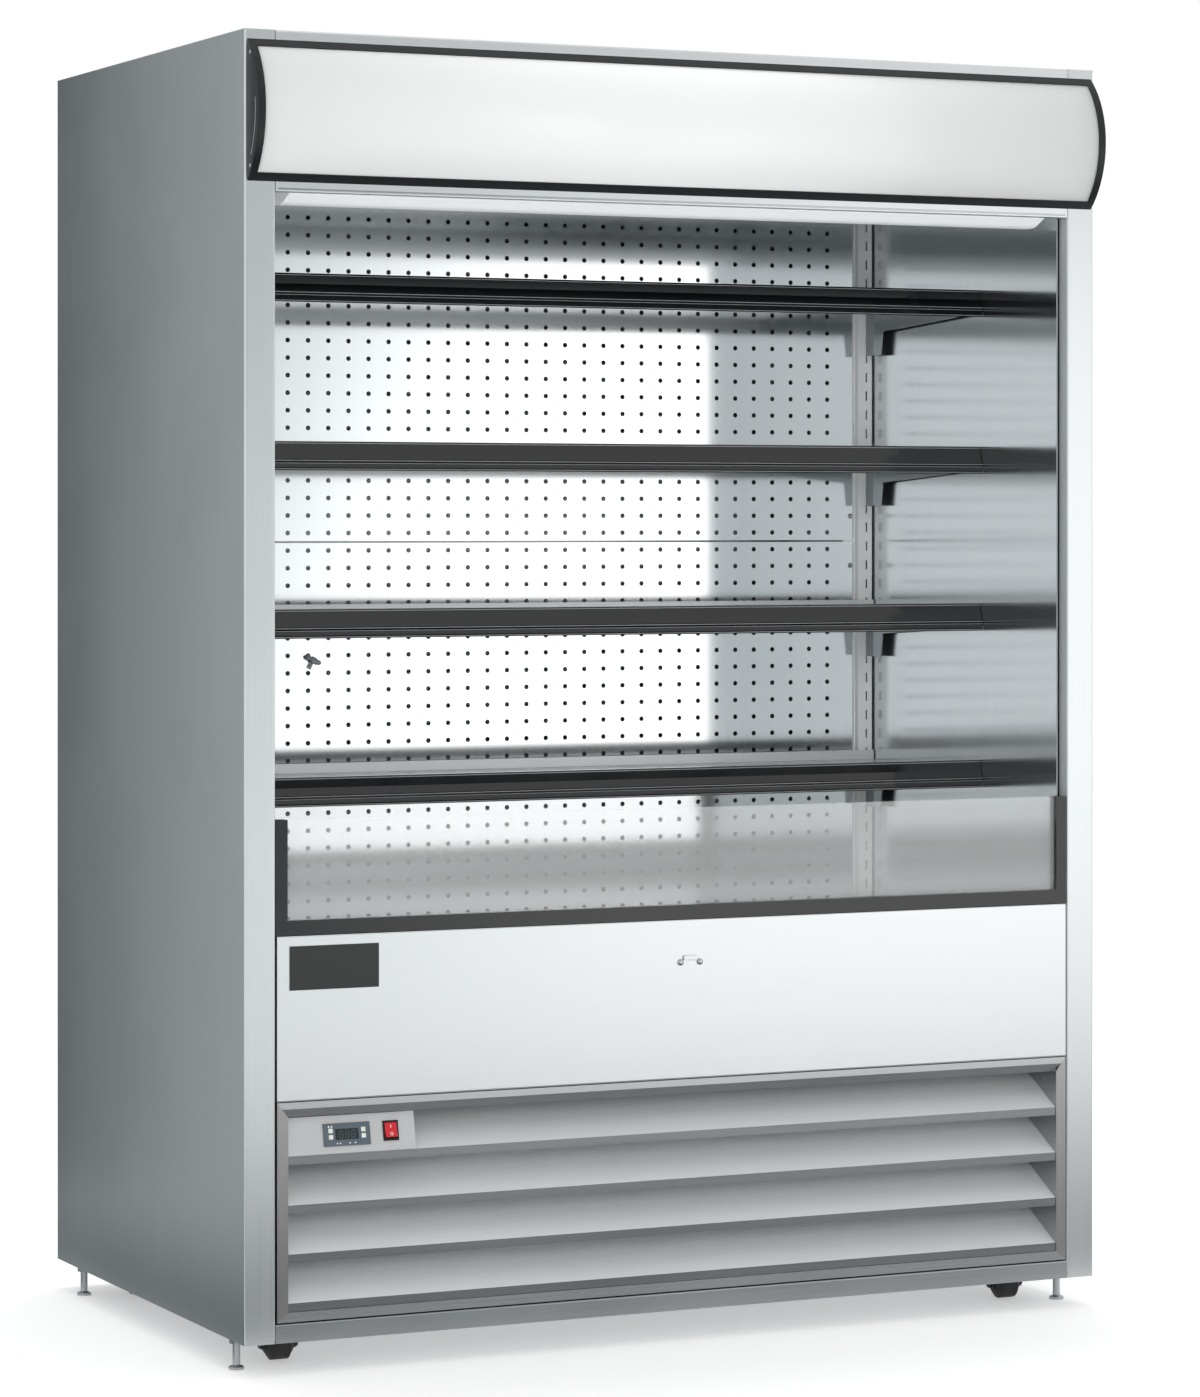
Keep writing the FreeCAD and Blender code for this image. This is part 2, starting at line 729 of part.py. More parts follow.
def riser_glass_groove():
    box = riser_glass().BoundBox
    gap = 0.2
    return block(box.XMin - gap, box.XMax + gap, box.YMin - gap, box.YMax + gap, box.ZMin - gap, box.ZMax + 1)


# ---------------------------------------------------------------- canopy and header
arc_half_chord = (arc_high - arc_low) / 2
arc_radius = (arc_half_chord ** 2 + canopy_bulge ** 2) / (2 * canopy_bulge)
arc_depth = arc_radius - canopy_bulge
arc_middle = (arc_high + arc_low) / 2
arc_angle = math.asin(arc_half_chord / arc_radius)


def arc_point(radius, angle):
    """Point of the canopy's section; angle 0 faces straight forward and grows upwards."""
    return V(0, arc_depth - radius * math.cos(angle), arc_middle + radius * math.sin(angle))


def arc_band(inner, outer, low, high, start, end):
    """Part of a ring between two radii and two angles, run along X."""
    middle = (low + high) / 2
    edges = [
        Part.Arc(arc_point(outer, low), arc_point(outer, middle), arc_point(outer, high)).toShape(),
        Part.LineSegment(arc_point(outer, high), arc_point(inner, high)).toShape(),
        Part.Arc(arc_point(inner, high), arc_point(inner, middle), arc_point(inner, low)).toShape(),
        Part.LineSegment(arc_point(inner, low), arc_point(outer, low)).toShape(),
    ]
    wire = Part.Wire(edges)
    wire.translate(V(start, 0, 0))
    return Part.Face(wire).extrude(V(end - start, 0, 0))


groove_lip = 1.7
groove_depth = 6.0


def canopy_segment(radius, start, end):
    """The solid slice between the arc and the front plane."""
    lift = math.acos(arc_depth / radius)
    edges = [
        Part.Arc(arc_point(radius, -lift), arc_point(radius, 0), arc_point(radius, lift)).toShape(),
        Part.LineSegment(arc_point(radius, lift), arc_point(radius, -lift)).toShape(),
    ]
    wire = Part.Wire(edges)
    wire.translate(V(start, 0, 0))
    return Part.Face(wire).extrude(V(end - start, 0, 0))


def canopy_frame():
    """Black surround of the lit canopy: two end caps and an upper and a lower bar."""
    end = canopy_half
    start = canopy_half - canopy_end_band
    cap = canopy_segment(arc_radius, start, end)
    cap = cap.cut(canopy_segment(arc_radius - canopy_skin, start - 1, end - 4))
    slot_outer = arc_radius - groove_lip
    slot_inner = slot_outer - acrylic - 2 * fit
    cap = cap.cut(arc_band(slot_inner, slot_outer, -arc_angle, arc_angle, start - 1, start + groove_depth))
    band = canopy_band / arc_radius
    bars = []
    for side in (-1, 1):
        edge = side * arc_angle
        stop = side * (arc_angle - band)
        low, high = min(edge, stop), max(edge, stop)
        bar = arc_band(arc_radius - canopy_skin, arc_radius, low, high, -start, start)
        in_stop = side * (arc_angle - band + groove_depth / arc_radius)
        out_stop = side * (arc_angle - band - 0.05)
        first, last = min(in_stop, out_stop), max(in_stop, out_stop)
        slot = arc_band(slot_inner, slot_outer, first, last, -start - 1, start + 1)
        bar = bar.cut(slot)
        clear = block(-half, half, 0, arc_radius, arc_low - 20, arc_high + 20)
        bars.append(bar.cut(clear))
    return bars + both_sides([cap])


def canopy_panel():
    """Opal acrylic sheet bent to the arc and held in the frame's groove."""
    outer = arc_radius - groove_lip - fit
    tuck = (canopy_band - groove_depth + fit) / arc_radius
    edge = canopy_half - canopy_end_band + groove_depth - fit
    return arc_band(outer - acrylic, outer, -arc_angle + tuck, arc_angle - tuck, -edge, edge)


fascia_foot = arc_low - fascia_drop
fascia_fold = 16.0
lamp_tray_rise = 8.5
lamp_tray_level = fascia_foot + lamp_tray_rise
outlet_front = 98.0
outlet_depth = 52.0


def header_panel():
    """Backs the canopy, shows as the fascia below it and folds back between the liners for the lamp."""
    line = [
        (0, casing_top - roof_lip - fit),
        (0, fascia_foot),
        (fascia_fold, fascia_foot),
        (fascia_fold, lamp_tray_level),
        (outlet_front, lamp_tray_level),
        (outlet_front, liner_top - inner_sheet - fit),
    ]
    skin = folded("YZ", line, outer_sheet, -mouth + fit, mouth - fit, 1.0)
    for end in both_sides([block(liner_half - fit, half, fascia_fold, depth, fascia_foot, casing_top)]):
        skin = skin.cut(end)
    return skin


lamp_half = liner_half - 24.0
lamp_front = 20.0
lamp_back = 90.0
lamp_drop = 23.0


def interior_lamp():
    """Frosted tube-shaped diffuser under the header, and the strip light behind the canopy."""
    top = lamp_tray_level
    foot_z = top - lamp_drop
    points = [
        (lamp_front, top), (lamp_front, top - 8), (lamp_front + 34, foot_z),
        (lamp_back, foot_z), (lamp_back, top),
    ]
    diffuser = prism("YZ", points, -lamp_half, lamp_half, [0, 6, 40, 10, 0])
    strip_points = [(-9, arc_middle - 12), (0, arc_middle - 12), (0, arc_middle + 12), (-9, arc_middle + 12)]
    strip = prism("YZ", strip_points, -lamp_half, lamp_half, [5, 0, 0, 5])
    return [diffuser, strip]


honeycomb_columns = 24
honeycomb_rows = 2
honeycomb_height = 24.0
honeycomb_web = 3.0


def air_outlet_honeycomb():
    """Cell block that straightens the cold air curtain behind the lamp."""
    edge = liner_half - honeycomb_web
    front = outlet_front + fit
    back = outlet_front + outlet_depth - fit
    shape = block(-edge, edge, front, back, ceiling - honeycomb_height, ceiling)
    cell_x = (2 * edge - honeycomb_web) / honeycomb_columns
    cell_y = (back - front - honeycomb_web) / honeycomb_rows
    cells = []
    for i in range(honeycomb_columns):
        for j in range(honeycomb_rows):
            x = -edge + honeycomb_web + i * cell_x
            y = front + honeycomb_web + j * cell_y
            cells.append(block(x, x + cell_x - honeycomb_web, y, y + cell_y - honeycomb_web,
                               ceiling - 2 * honeycomb_height, ceiling + honeycomb_height))
    return shape.cut(Part.makeCompound(cells))


def ceiling_panel():
    front = outlet_front + outlet_depth
    line = [(upright_plane - 2, ceiling), (front, ceiling), (front, ceiling - honeycomb_height)]
    edge = liner_half - fit
    sheet = folded("YZ", line, inner_sheet, -edge, edge, 1.0)
    flange = block(edge - inner_sheet, edge, front + 20, upright_plane - 2, ceiling - 0.5, ceiling + 30)
    return joined(sheet, *both_sides([flange]))


# ---------------------------------------------------------------- display interior
def rear_panel(low, high):
    """Flat face with stiffening folds along the top and bottom, between the uprights."""
    t = inner_sheet
    y = rear_panel_plane
    narrow = upright_inner - 26.0
    face = block(-rear_panel_half, rear_panel_half, y, y + t, low, high)
    folds = [block(-narrow, narrow, y, y + 14, z, z + t) for z in (low, high - t)]
    return joined(face, *folds)


first_slot = rail_tops[0] - shelf_recess - 21.0


def slotted_upright():
    """Folded post with hook slots, and a flange behind it that the rear panels screw to."""
    flange_face = rear_panel_plane + inner_sheet
    line = [
        (upright_inner - 24, flange_face),
        (upright_inner, flange_face),
        (upright_inner, upright_plane),
        (upright_outer, upright_plane),
        (upright_outer, upright_plane + 26),
    ]
    post = folded("XY", line, upright_sheet, well_floor + inner_sheet, liner_top - inner_sheet)
    above = int((ceiling - slot_height - first_slot) / slot_pitch)
    below = int((first_slot - deck_top - slot_height) / slot_pitch)
    slots = []
    for i in range(-above, below + 1):
        z = first_slot - i * slot_pitch
        slots.append(block(slot_x - slot_width / 2, slot_x + slot_width / 2, upright_plane - 1,
                           upright_plane + upright_sheet + 1, z - slot_height / 2, z + slot_height / 2))
    return post.cut(Part.makeCompound(slots))


bracket_tip = 15.0  # arm's tip behind the shelf's front
tip_height = 16.0
slope_start = 46.0  # where the underside starts to rise, behind the shelf's front
slope_drop = 44.0  # levels below the rail's top edge
tail_drop = 59.0
bracket_drop = 100.0
tail_depth = 60.0  # tail on the upright, at its top and at its foot
tail_foot_depth = 53.0


def shelf_bracket(rail_top):
    """Cantilever arm with two hooks that hang in the upright's slots."""
    top = rail_top - shelf_recess - shelf_sheet
    root = upright_plane - fit
    tip = shelf_front + bracket_tip
    low = rail_top - bracket_drop
    arm = [
        (tip, top), (tip, top - tip_height), (shelf_front + slope_start, rail_top - slope_drop),
        (root - tail_depth, rail_top - tail_drop), (root - tail_foot_depth, low), (root, low), (root, top),
    ]
    x0 = slot_x - bracket_sheet / 2
    x1 = slot_x + bracket_sheet / 2
    shape = prism("YZ", arm, x0, x1, [0, 0, 20, 6, 0, 0, 0])
    upper_slot = first_slot + rail_top - rail_tops[0]
    inner_face = upright_plane + upright_sheet
    for slot in (upper_slot, upper_slot - slot_pitch):
        foot_z = slot - slot_height / 2 + 0.2
        hook = [
            (root - 1, foot_z), (inner_face + fit, foot_z), (inner_face + fit, foot_z - 5),
            (inner_face + 3, foot_z - 5), (inner_face + 3, foot_z + 9), (root - 1, foot_z + 9),
        ]
        shape = joined(shape, prism("YZ", hook, x0, x1))
    return shape


def shelf_tray(rail_top):
    """Shelf: front fold for the price rail, side folds and a rear upstand."""
    t = shelf_sheet
    under = rail_top - shelf_recess - t
    line = [
        (shelf_front + t, under - 24), (shelf_front + t, under), (shelf_rear, under), (shelf_rear, rail_top),
    ]
    tray = folded("YZ", line, t, -shelf_half, shelf_half, bend)
    side = block(shelf_half - t, shelf_half, shelf_front + 8, shelf_rear - 8, under - 14, under + t / 2)
    return joined(tray, *both_sides([side]))


rail_face_height = 46.5
rail_sheet = 1.8
rail_reach = 26.0  # lower lip in front of the shelf's front fold


def price_rail(rail_top):
    """Label rail: top lip, recessed upper face, two beads, and a lip that stands forward below."""
    back = shelf_front - fit
    y = shelf_front - rail_reach
    low = rail_top - rail_face_height
    line = [
        (back, rail_top), (y + 16, rail_top), (y + 14.5, rail_top - 4), (y + 11.5, rail_top - 17),
        (y + 7.5, rail_top - 29), (y + 4.5, rail_top - 31.5), (y + 6.5, rail_top - 35),
        (y + 4, rail_top - 42), (y, low + 1.5), (y + 3, low),
    ]
    face = folded("YZ", line, rail_sheet, -rail_half, rail_half)
    web = block(-rail_half, rail_half, back - rail_sheet, back, rail_top - 38, rail_top - 0.5)
    return joined(face, web)


deck_front = 150.0
deck_flange = 24.0


def deck_panel():
    line = [
        (deck_front, deck_top - deck_flange), (deck_front, deck_top), (upright_plane - 2, deck_top),
    ]
    edge = liner_half - fit
    return folded("YZ", line[::-1], shelf_sheet, -edge, edge, bend)


grille_slots = 32
grille_pitch = 42.0
grille_slot = 12.0


def return_grille():
    """Air return: a folded cover with a row of slots between the riser and the deck."""
    front = post_back + 4.0
    back = deck_front - fit
    cap = well_wall_top + inner_sheet
    line = [(back, deck_top - 20), (back, deck_top), (front, deck_top + 8), (front, cap)]
    edge = liner_half - shelf_gap
    cover = folded("YZ", line, shelf_sheet, -edge, edge, bend)
    first = -(grille_slots - 1) / 2 * grille_pitch
    slots = [block(first + i * grille_pitch - grille_slot / 2, first + i * grille_pitch + grille_slot / 2,
                   front + 14, back - 14, deck_top - 12, deck_top + 20) for i in range(grille_slots)]
    return cover.cut(Part.makeCompound(slots))


probe_x = -378.0
probe_drop = 199.0  # below the seam of the rear panels
probe_length = 30.0
probe_radius = 4.0
probe_tilt = 25.0


def temperature_probe():
    """Capsule sensor held to the rear panel by a looped clip."""
    z = deck_top + seam_height - probe_drop
    y = rear_panel_plane - probe_radius - 1.6
    r = probe_radius
    end = probe_length / 2
    capsule = turned([(-end, 0.3 * r), (0.7 * r - end, r), (end - 0.7 * r, r), (end, 0.3 * r)], 12)
    capsule.rotate(V(0, 0, 0), V(0, 1, 0), 90)
    outer = faceted((-4, 0, 0), "X", probe_radius + 1.3, 8, 12)
    ring = outer.cut(faceted((-5, 0, 0), "X", probe_radius + 0.1, 10, 12))
    tab = block(-4, 4, probe_radius + 0.3, probe_radius + 1.6, -16, 0)
    clip = joined(ring, tab)
    pieces = []
    for shape in (capsule, clip):
        shape.rotate(V(0, 0, 0), V(0, 1, 0), probe_tilt)
        shape.translate(V(probe_x, y, z))
        pieces.append(shape)
    return pieces


# ---------------------------------------------------------------- refrigeration
def fan_wheel(x, shaft_front, z, radius, hub, blades, thickness, shaft_back):
    """Axial fan: hub, twisted blades lofted from root to tip, and the shaft into its motor."""
    body = faceted((0, 0, 0), "Y", hub, thickness, 16)
    chord = radius * 0.62
    for i in range(blades):
        sections = []
        for reach, angle, size in ((hub - 2, 38, chord * 0.7), (radius, 20, chord)):
            corners = [(-size / 2, -1.2), (size / 2, -1.2), (size / 2, 1.2), (-size / 2, 1.2)]
            turn = math.radians(angle)
            ring = []
            for a, b in corners:
                across = a * math.cos(turn) - b * math.sin(turn)
                deep = a * math.sin(turn) + b * math.cos(turn)
                ring.append(V(across, thickness / 2 + deep, reach))
            sections.append(ring)
        blade = skinned(sections)
        blade.rotate(V(0, 0, 0), V(0, 1, 0), i * 360.0 / blades)
        body = body.fuse(blade)
    shaft = rod((0, thickness - 1, 0), (0, 1, 0), axle_radius, shaft_back + 1)
    body = body.fuse(shaft).removeSplitter()
    body.translate(V(x, shaft_front, z))
    return body


def fan_motor(x, y, z, radius, length, arm):
    """Motor can on three arms, with the bearing hole that the fan's shaft turns in."""
    body = faceted((0, 0, 0), "Y", radius, length, 16)
    for i in range(3):
        bar = block(-5, 5, 0, 4, 0, arm)
        bar.rotate(V(0, 0, 0), V(0, 1, 0), 120 * i)
        body = body.fuse(bar)
    body = body.removeSplitter().cut(rod((0, -1, 0), (0, 1, 0), axle_radius + running, 21))
    body.translate(V(x, y, z))
    return body


condenser_length = 620.0
condenser_x0 = 60.0 - mouth
condenser_x1 = condenser_x0 + condenser_length
condenser_front = 112.0
condenser_depth = 62.0
condenser_height = 290.0
condenser_fan_radius = 118.0
fan_shaft = 14.0
fan_gap = 6.0


tube_size = 9.0


def finned_coil(x0, x1, y0, y1, z0, z1, plate_foot, bends):
    """Fin block between two end plates, with the tubes' return bends outside one plate."""
    fins = block(x0 + 12, x1 - 12, y0 + 4, y1 - 4, z0 + 6, z1 - 6)
    plates = [block(x, x + 2, y0, y1, plate_foot, z1) for x in (x0 + 10, x1 - 12)]
    pitch = (z1 - z0 - 24) / bends
    tubes = []
    for i in range(bends):
        z = z0 + 12 + (i + 0.5) * pitch
        a = pitch / 2 - 1.1 * tube_size
        reach = a + tube_size
        loop = [
            (0, -a - tube_size), (reach * 0.7, -a - tube_size), (reach, -a * 0.6), (reach, a * 0.6),
            (reach * 0.7, a + tube_size), (0, a + tube_size), (0, a), (a * 0.7, a),
            (a, a * 0.6), (a, -a * 0.6), (a * 0.7, -a), (0, -a),
        ]
        bend_tube = prism("XZ", loop, -tube_size / 2, tube_size / 2)
        bend_tube.translate(V(x1 - 10, (y0 + y1) / 2, z))
        tubes.append(bend_tube)
    return [joined(fins, *plates)] + tubes


def condenser_coil():
    back = condenser_front + condenser_depth
    high = pan_top + condenser_height
    return finned_coil(condenser_x0, condenser_x1, condenser_front, back, pan_top + 8, high, pan_top, 5)


shroud_y = condenser_front + condenser_depth + 60.0
condenser_fan_x = (condenser_x0 + condenser_x1) / 2
condenser_fan_z = pan_top + condenser_height / 2
condenser_fan_depth = 44.0


def condenser_fan_shroud():
    """Shroud riveted from a plate with a round mouth, a lid and two sides; the motor hangs on stays."""
    y = shroud_y
    coil_back = condenser_front + condenser_depth + fit
    t = outer_sheet
    x0 = condenser_x0 + 10
    x1 = condenser_x1 - 10
    high = pan_top + condenser_height
    centre = (condenser_fan_x, y, condenser_fan_z)
    mouth_radius = condenser_fan_radius + fan_gap
    plate = block(x0, x1, y, y + t, pan_top, high)
    sides = [block(x, x + t, coil_back, y, pan_top, high - t) for x in (x0, x1 - t)]
    lid = block(x0, x1, coil_back, y, high - t, high)
    hole = faceted((condenser_fan_x, y - 5, condenser_fan_z), "Y", mouth_radius, 60, 32)
    ring = faceted(centre, "Y", mouth_radius + 2, 30, 32)
    mouth_plate = joined(plate, ring).cut(hole)
    motor_y = y + condenser_fan_depth + 4
    motor = fan_motor(condenser_fan_x, motor_y, condenser_fan_z, 38, 60, mouth_radius + 12)
    stays = []
    for i in range(3):
        stay = block(-5, 5, t, condenser_fan_depth + 4, mouth_radius + 4, mouth_radius + 12)
        stay.rotate(V(0, 0, 0), V(0, 1, 0), 120 * i)
        stay.translate(V(*centre))
        stays.append(stay)
    return [mouth_plate, lid, joined(motor, *stays)] + sides


def condenser_fan():
    y = shroud_y + 2
    return fan_wheel(condenser_fan_x, y, condenser_fan_z, condenser_fan_radius, 34, 5,
                     condenser_fan_depth, fan_shaft)


compressor_x = 330.0
compressor_y = 420.0
compressor_radius = 92.0
compressor_height = 202.0
compressor_weld = 120.0  # flange where the two halves of the shell are welded
compressor_mount = 14.0  # height of the rubber mounts
compressor_plate = (230.0, 160.0, 3.0)  # its base plate
terminal_box = (68.0, 42.0, 52.0)


def compressor():
    """Hermetic can on a base plate and four rubber mounts, with its terminal box and stub pipes."""
    length, breadth, t = compressor_plate
    r = compressor_radius
    spread = [(sx * (length / 2 - 20), sy * (breadth / 2 - 18)) for sx in (-1, 1) for sy in (-1, 1)]
    mounts = [faceted((x, y, -compressor_mount), "Z", 12, compressor_mount, 8) for x, y in spread]
    plate = block(-length / 2, length / 2, -breadth / 2, breadth / 2, 0, t)
    stations = [
        (t, 0.8 * r), (t + 19, r), (compressor_weld - 2, r), (compressor_weld - 1, r + 5),
        (compressor_weld + 5, r + 5), (compressor_weld + 6, r - 1), (compressor_weld + 40, 0.85 * r),
        (compressor_height - 14, 0.57 * r), (compressor_height, 0.22 * r),
    ]
    box_width, box_depth, box_height = terminal_box
    box_back = 12 - r
    terminals = block(-box_width / 2, box_width / 2, box_back - box_depth, box_back, 60, 60 + box_height)
    pipes = [faceted((x, 0.65 * r, compressor_weld + 10), "Z", 5, 60, 8) for x in (-30, 30)]
    shell = joined(turned(stations, 20), terminals, *pipes)
    pieces = [plate, shell] + mounts
    for piece in pieces:
        piece.translate(V(compressor_x, compressor_y, pan_top + compressor_mount))
    return pieces


evaporator_half = mouth - 100.0
evaporator_depth = 250.0
evaporator_back = rear_panel_plane - 65.0
evaporator_front = evaporator_back - evaporator_depth
fan_plate_y = evaporator_front - 88.0
fan_plate_sheet = 1.5
evaporator_fan_x = 330.0
evaporator_fan_radius = 58.0
evaporator_fan_depth = 24.0
evaporator_low = well_floor + inner_sheet
evaporator_fan_z = (evaporator_low + deck_top) / 2


def evaporator_coil():
    high = deck_top - 26.0
    return finned_coil(-evaporator_half, evaporator_half, evaporator_front, evaporator_back,
                       evaporator_low + 8, high, evaporator_low, 3)


def evaporator_fan_plate():
    """Upright plate under the deck with two fan mouths and their motors."""
    edge = liner_half - fit - deck_ledge
    top = deck_top - shelf_sheet
    plate = block(-edge, edge, fan_plate_y, fan_plate_y + fan_plate_sheet, evaporator_low, top)
    fold_top = evaporator_low + fan_plate_sheet
    foot_fold = block(-edge, edge, fan_plate_y, fan_plate_y + 18, evaporator_low, fold_top)
    plate = joined(plate, foot_fold)
    hole_radius = evaporator_fan_radius + 4
    motors = []
    for side in (-1, 1):
        x = side * evaporator_fan_x
        plate = plate.cut(faceted((x, fan_plate_y - 5, evaporator_fan_z), "Y", hole_radius, 20, 24))
        motor_y = fan_plate_y + evaporator_fan_depth + 6
        motor = fan_motor(x, motor_y, evaporator_fan_z, 20, 32, hole_radius + 8)
        pieces = [motor]
        for i in range(3):
            stay = block(-5, 5, fan_plate_sheet, evaporator_fan_depth + 6, hole_radius + 2, hole_radius + 8)
            stay.rotate(V(0, 0, 0), V(0, 1, 0), 120 * i)
            stay.translate(V(x, fan_plate_y, evaporator_fan_z))
            pieces.append(stay)
        motors.append(joined(*pieces))
    return [plate] + motors


def evaporator_fan(side):
    return fan_wheel(side * evaporator_fan_x, fan_plate_y + 4, evaporator_fan_z, evaporator_fan_radius, 18, 5,
                     evaporator_fan_depth, fan_shaft)


# ---------------------------------------------------------------- build
left_skin = side_panel()
save("left_side_panel", left_skin)
save("right_side_panel", mirrored(left_skin))
save("roof_panel", roof_panel())
save("back_panel", back_panel())
save("insulation", *insulation())
save("inner_liner", *inner_liner())
save("base_frame", *base_frame())
save("bottom_rail", bottom_rail())
save("lower_front_panel", lower_front_panel())
save("louvre_frame", *louvre_frame())
save("louvre_slats", *louvre_slats())
save("controller_housing", controller_housing())
for name, (key_x, key_z) in zip(("up", "down", "timer", "set"), key_places):
    save("controller_key_" + name, controller_key(key_x, key_z))
save("switch_housing", switch_housing())
save("switch_rocker", switch_rocker())
save("riser_glass", riser_glass())
save("riser_frame", *riser_frame())
save("header_panel", header_panel())
save("canopy_frame", *canopy_frame())
save("canopy_panel", canopy_panel())
save("interior_lamp", *interior_lamp())
save("air_outlet_honeycomb", air_outlet_honeycomb())
save("ceiling_panel", ceiling_panel())
seam = deck_top + seam_height
save("rear_panel_upper", rear_panel(seam + fit, ceiling))
save("rear_panel_lower", rear_panel(deck_top - 30, seam - fit))
save("slotted_uprights", *both_sides([slotted_upright()]))
save("shelf_brackets", *both_sides([shelf_bracket(level) for level in rail_tops]))
for number, level in enumerate(rail_tops, 1):
    save("shelf_%d" % number, shelf_tray(level))
    save("price_rail_%d" % number, price_rail(level))
save("deck_panel", deck_panel())
save("return_grille", return_grille())
save("temperature_probe", *temperature_probe())
save("condenser_coil", *condenser_coil())
save("condenser_fan_shroud", *condenser_fan_shroud())
save("condenser_fan", condenser_fan())
save("compressor", *compressor())
save("evaporator_coil", *evaporator_coil())
save("evaporator_fan_plate", *evaporator_fan_plate())
save("evaporator_fan_left", evaporator_fan(-1))
save("evaporator_fan_right", evaporator_fan(1))
save("rear_caster_forks", *both_sides([caster_fork(caster_x, rear_caster_y, False)]))
for name, side in (("left", -1), ("right", 1)):
    save("front_caster_fork_" + name, caster_fork(side * caster_x, front_caster_y, True))
    save("front_wheel_" + name, caster_wheel(side * caster_x, front_caster_y))
    save("rear_wheel_" + name, caster_wheel(side * caster_x, rear_caster_y))
    save("front_foot_" + name, foot(side * foot_x, foot_y))
    save("rear_foot_" + name, foot(side * foot_x, depth - foot_y))
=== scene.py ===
"""An open multideck display fridge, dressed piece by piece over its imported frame.

Metres, Z up, the origin on the floor under the middle of the cabinet, its open front facing -Y.
"""
import math

import bpy
import numpy as np
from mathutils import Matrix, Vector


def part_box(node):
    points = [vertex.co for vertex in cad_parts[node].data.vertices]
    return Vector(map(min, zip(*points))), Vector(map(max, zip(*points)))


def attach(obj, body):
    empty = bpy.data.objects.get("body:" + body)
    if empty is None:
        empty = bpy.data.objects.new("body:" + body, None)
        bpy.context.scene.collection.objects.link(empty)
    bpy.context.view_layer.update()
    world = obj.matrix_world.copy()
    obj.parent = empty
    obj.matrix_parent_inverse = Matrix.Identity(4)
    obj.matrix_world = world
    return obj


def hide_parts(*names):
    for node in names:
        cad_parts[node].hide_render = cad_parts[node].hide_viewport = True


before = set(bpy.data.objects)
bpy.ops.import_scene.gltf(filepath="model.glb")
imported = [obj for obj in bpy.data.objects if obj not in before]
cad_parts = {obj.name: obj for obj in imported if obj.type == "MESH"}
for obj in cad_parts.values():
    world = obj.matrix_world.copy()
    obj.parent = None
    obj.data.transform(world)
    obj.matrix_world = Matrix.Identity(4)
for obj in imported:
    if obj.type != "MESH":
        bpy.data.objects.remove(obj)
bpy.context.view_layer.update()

# ---------------------------------------------------------------- base frame and feet
# Box rails, pan, caster plates, nuts and posts of steel, cut and welded, then zinc plated; the
# levelling feet are turned zinc-plated studs that screw through the welded nuts.


def linear(code):
    """An sRGB hex as linear RGBA: c / 12.92 up to the toe, ((c + 0.055) / 1.055) ** 2.4 above."""
    c = np.array([int(code[i:i + 2], 16) for i in (1, 3, 5)]) / 255
    c = np.where(c <= 0.04045, c / 12.92, ((c + 0.055) / 1.055) ** 2.4)
    return (*c, 1.0)


def add(tree, kind, settings, inputs):
    """One shader node with its settings; an input given as a socket is linked to it."""
    made = tree.nodes.new("ShaderNode" + kind)
    for name, value in settings.items():
        setattr(made, name, value)
    for name, value in inputs.items():
        if isinstance(value, bpy.types.NodeSocket):
            tree.links.new(value, made.inputs[name])
        else:
            made.inputs[name].default_value = value
    return made


def material(name, **sockets):
    """A material with one Principled shader; returns it, its tree and the shader."""
    made = bpy.data.materials.new(name)
    made.use_nodes = True
    shader = made.node_tree.nodes["Principled BSDF"]
    for socket, value in sockets.items():
        shader.inputs[socket.replace("_", " ")].default_value = value
    return made, made.node_tree, shader


def mottled(name, dark, light, size, roughness, spread, relief, **sockets):
    """A finish that varies softly: noise as large as size blends two colours and two roughnesses,
    and a noise ten times finer lifts the surface by relief."""
    made, tree, shader = material(name, **sockets)
    place = add(tree, "TexCoord", {}, {}).outputs["Object"]
    broad = add(tree, "TexNoise", {}, {"Vector": place, "Scale": 1 / size, "Detail": 4.0})
    fine = add(tree, "TexNoise", {}, {"Vector": place, "Scale": 10 / size, "Detail": 3.0})
    colour = add(tree, "Mix", {"data_type": "RGBA"},
                 {"Factor": broad.outputs["Fac"], 6: linear(dark), 7: linear(light)})
    gloss = add(tree, "MapRange", {},
                {"Value": broad.outputs["Fac"], "From Min": 0.3, "From Max": 0.7,
                 "To Min": roughness - spread, "To Max": roughness + spread})
    bump = add(tree, "Bump", {},
               {"Height": fine.outputs["Fac"], "Distance": relief, "Strength": 0.5})
    tree.links.new(colour.outputs[2], shader.inputs["Base Color"])
    tree.links.new(gloss.outputs["Result"], shader.inputs["Roughness"])
    tree.links.new(bump.outputs["Normal"], shader.inputs["Normal"])
    return made


def dress(finish, *names):
    """Puts a finish on CAD nodes that keep their own shape."""
    for name in names:
        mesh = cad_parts[name].data
        mesh.materials.clear()
        mesh.materials.append(finish)


# Zinc plate on steel: a slightly blue-grey metal with cloudy spangle about 12 mm across.
zinc = mottled("zinc_plated_steel", "#9a9ea1", "#b9bcbe", 0.012, 0.38, 0.08, 0.00002,
               Metallic=1.0)
dress(zinc, "base_frame", "front_foot_left", "front_foot_right", "rear_foot_left",
      "rear_foot_right", "condenser_fan_shroud")

# ---------------------------------------------------------------- casters
# Pressed forks, stove-enamelled black, carry barrel wheels of black rubber moulded on a hub. The
# front two swivel on king pins; the rear pair is fixed.

# Black stove enamel on pressed steel: smooth, with the slight orange peel of sprayed enamel.
enamel = mottled("black_stove_enamel", "#0c0d0e", "#17191a", 0.02, 0.4, 0.06, 0.00003)
dress(enamel, "front_caster_fork_left", "front_caster_fork_right", "rear_caster_forks",
      "compressor")

# Moulded rubber: dull, with dust in its surface.
rubber = mottled("moulded_black_rubber", "#131313", "#262626", 0.008, 0.6, 0.08, 0.0001)
dress(rubber, "front_wheel_left", "front_wheel_right", "rear_wheel_left", "rear_wheel_right")

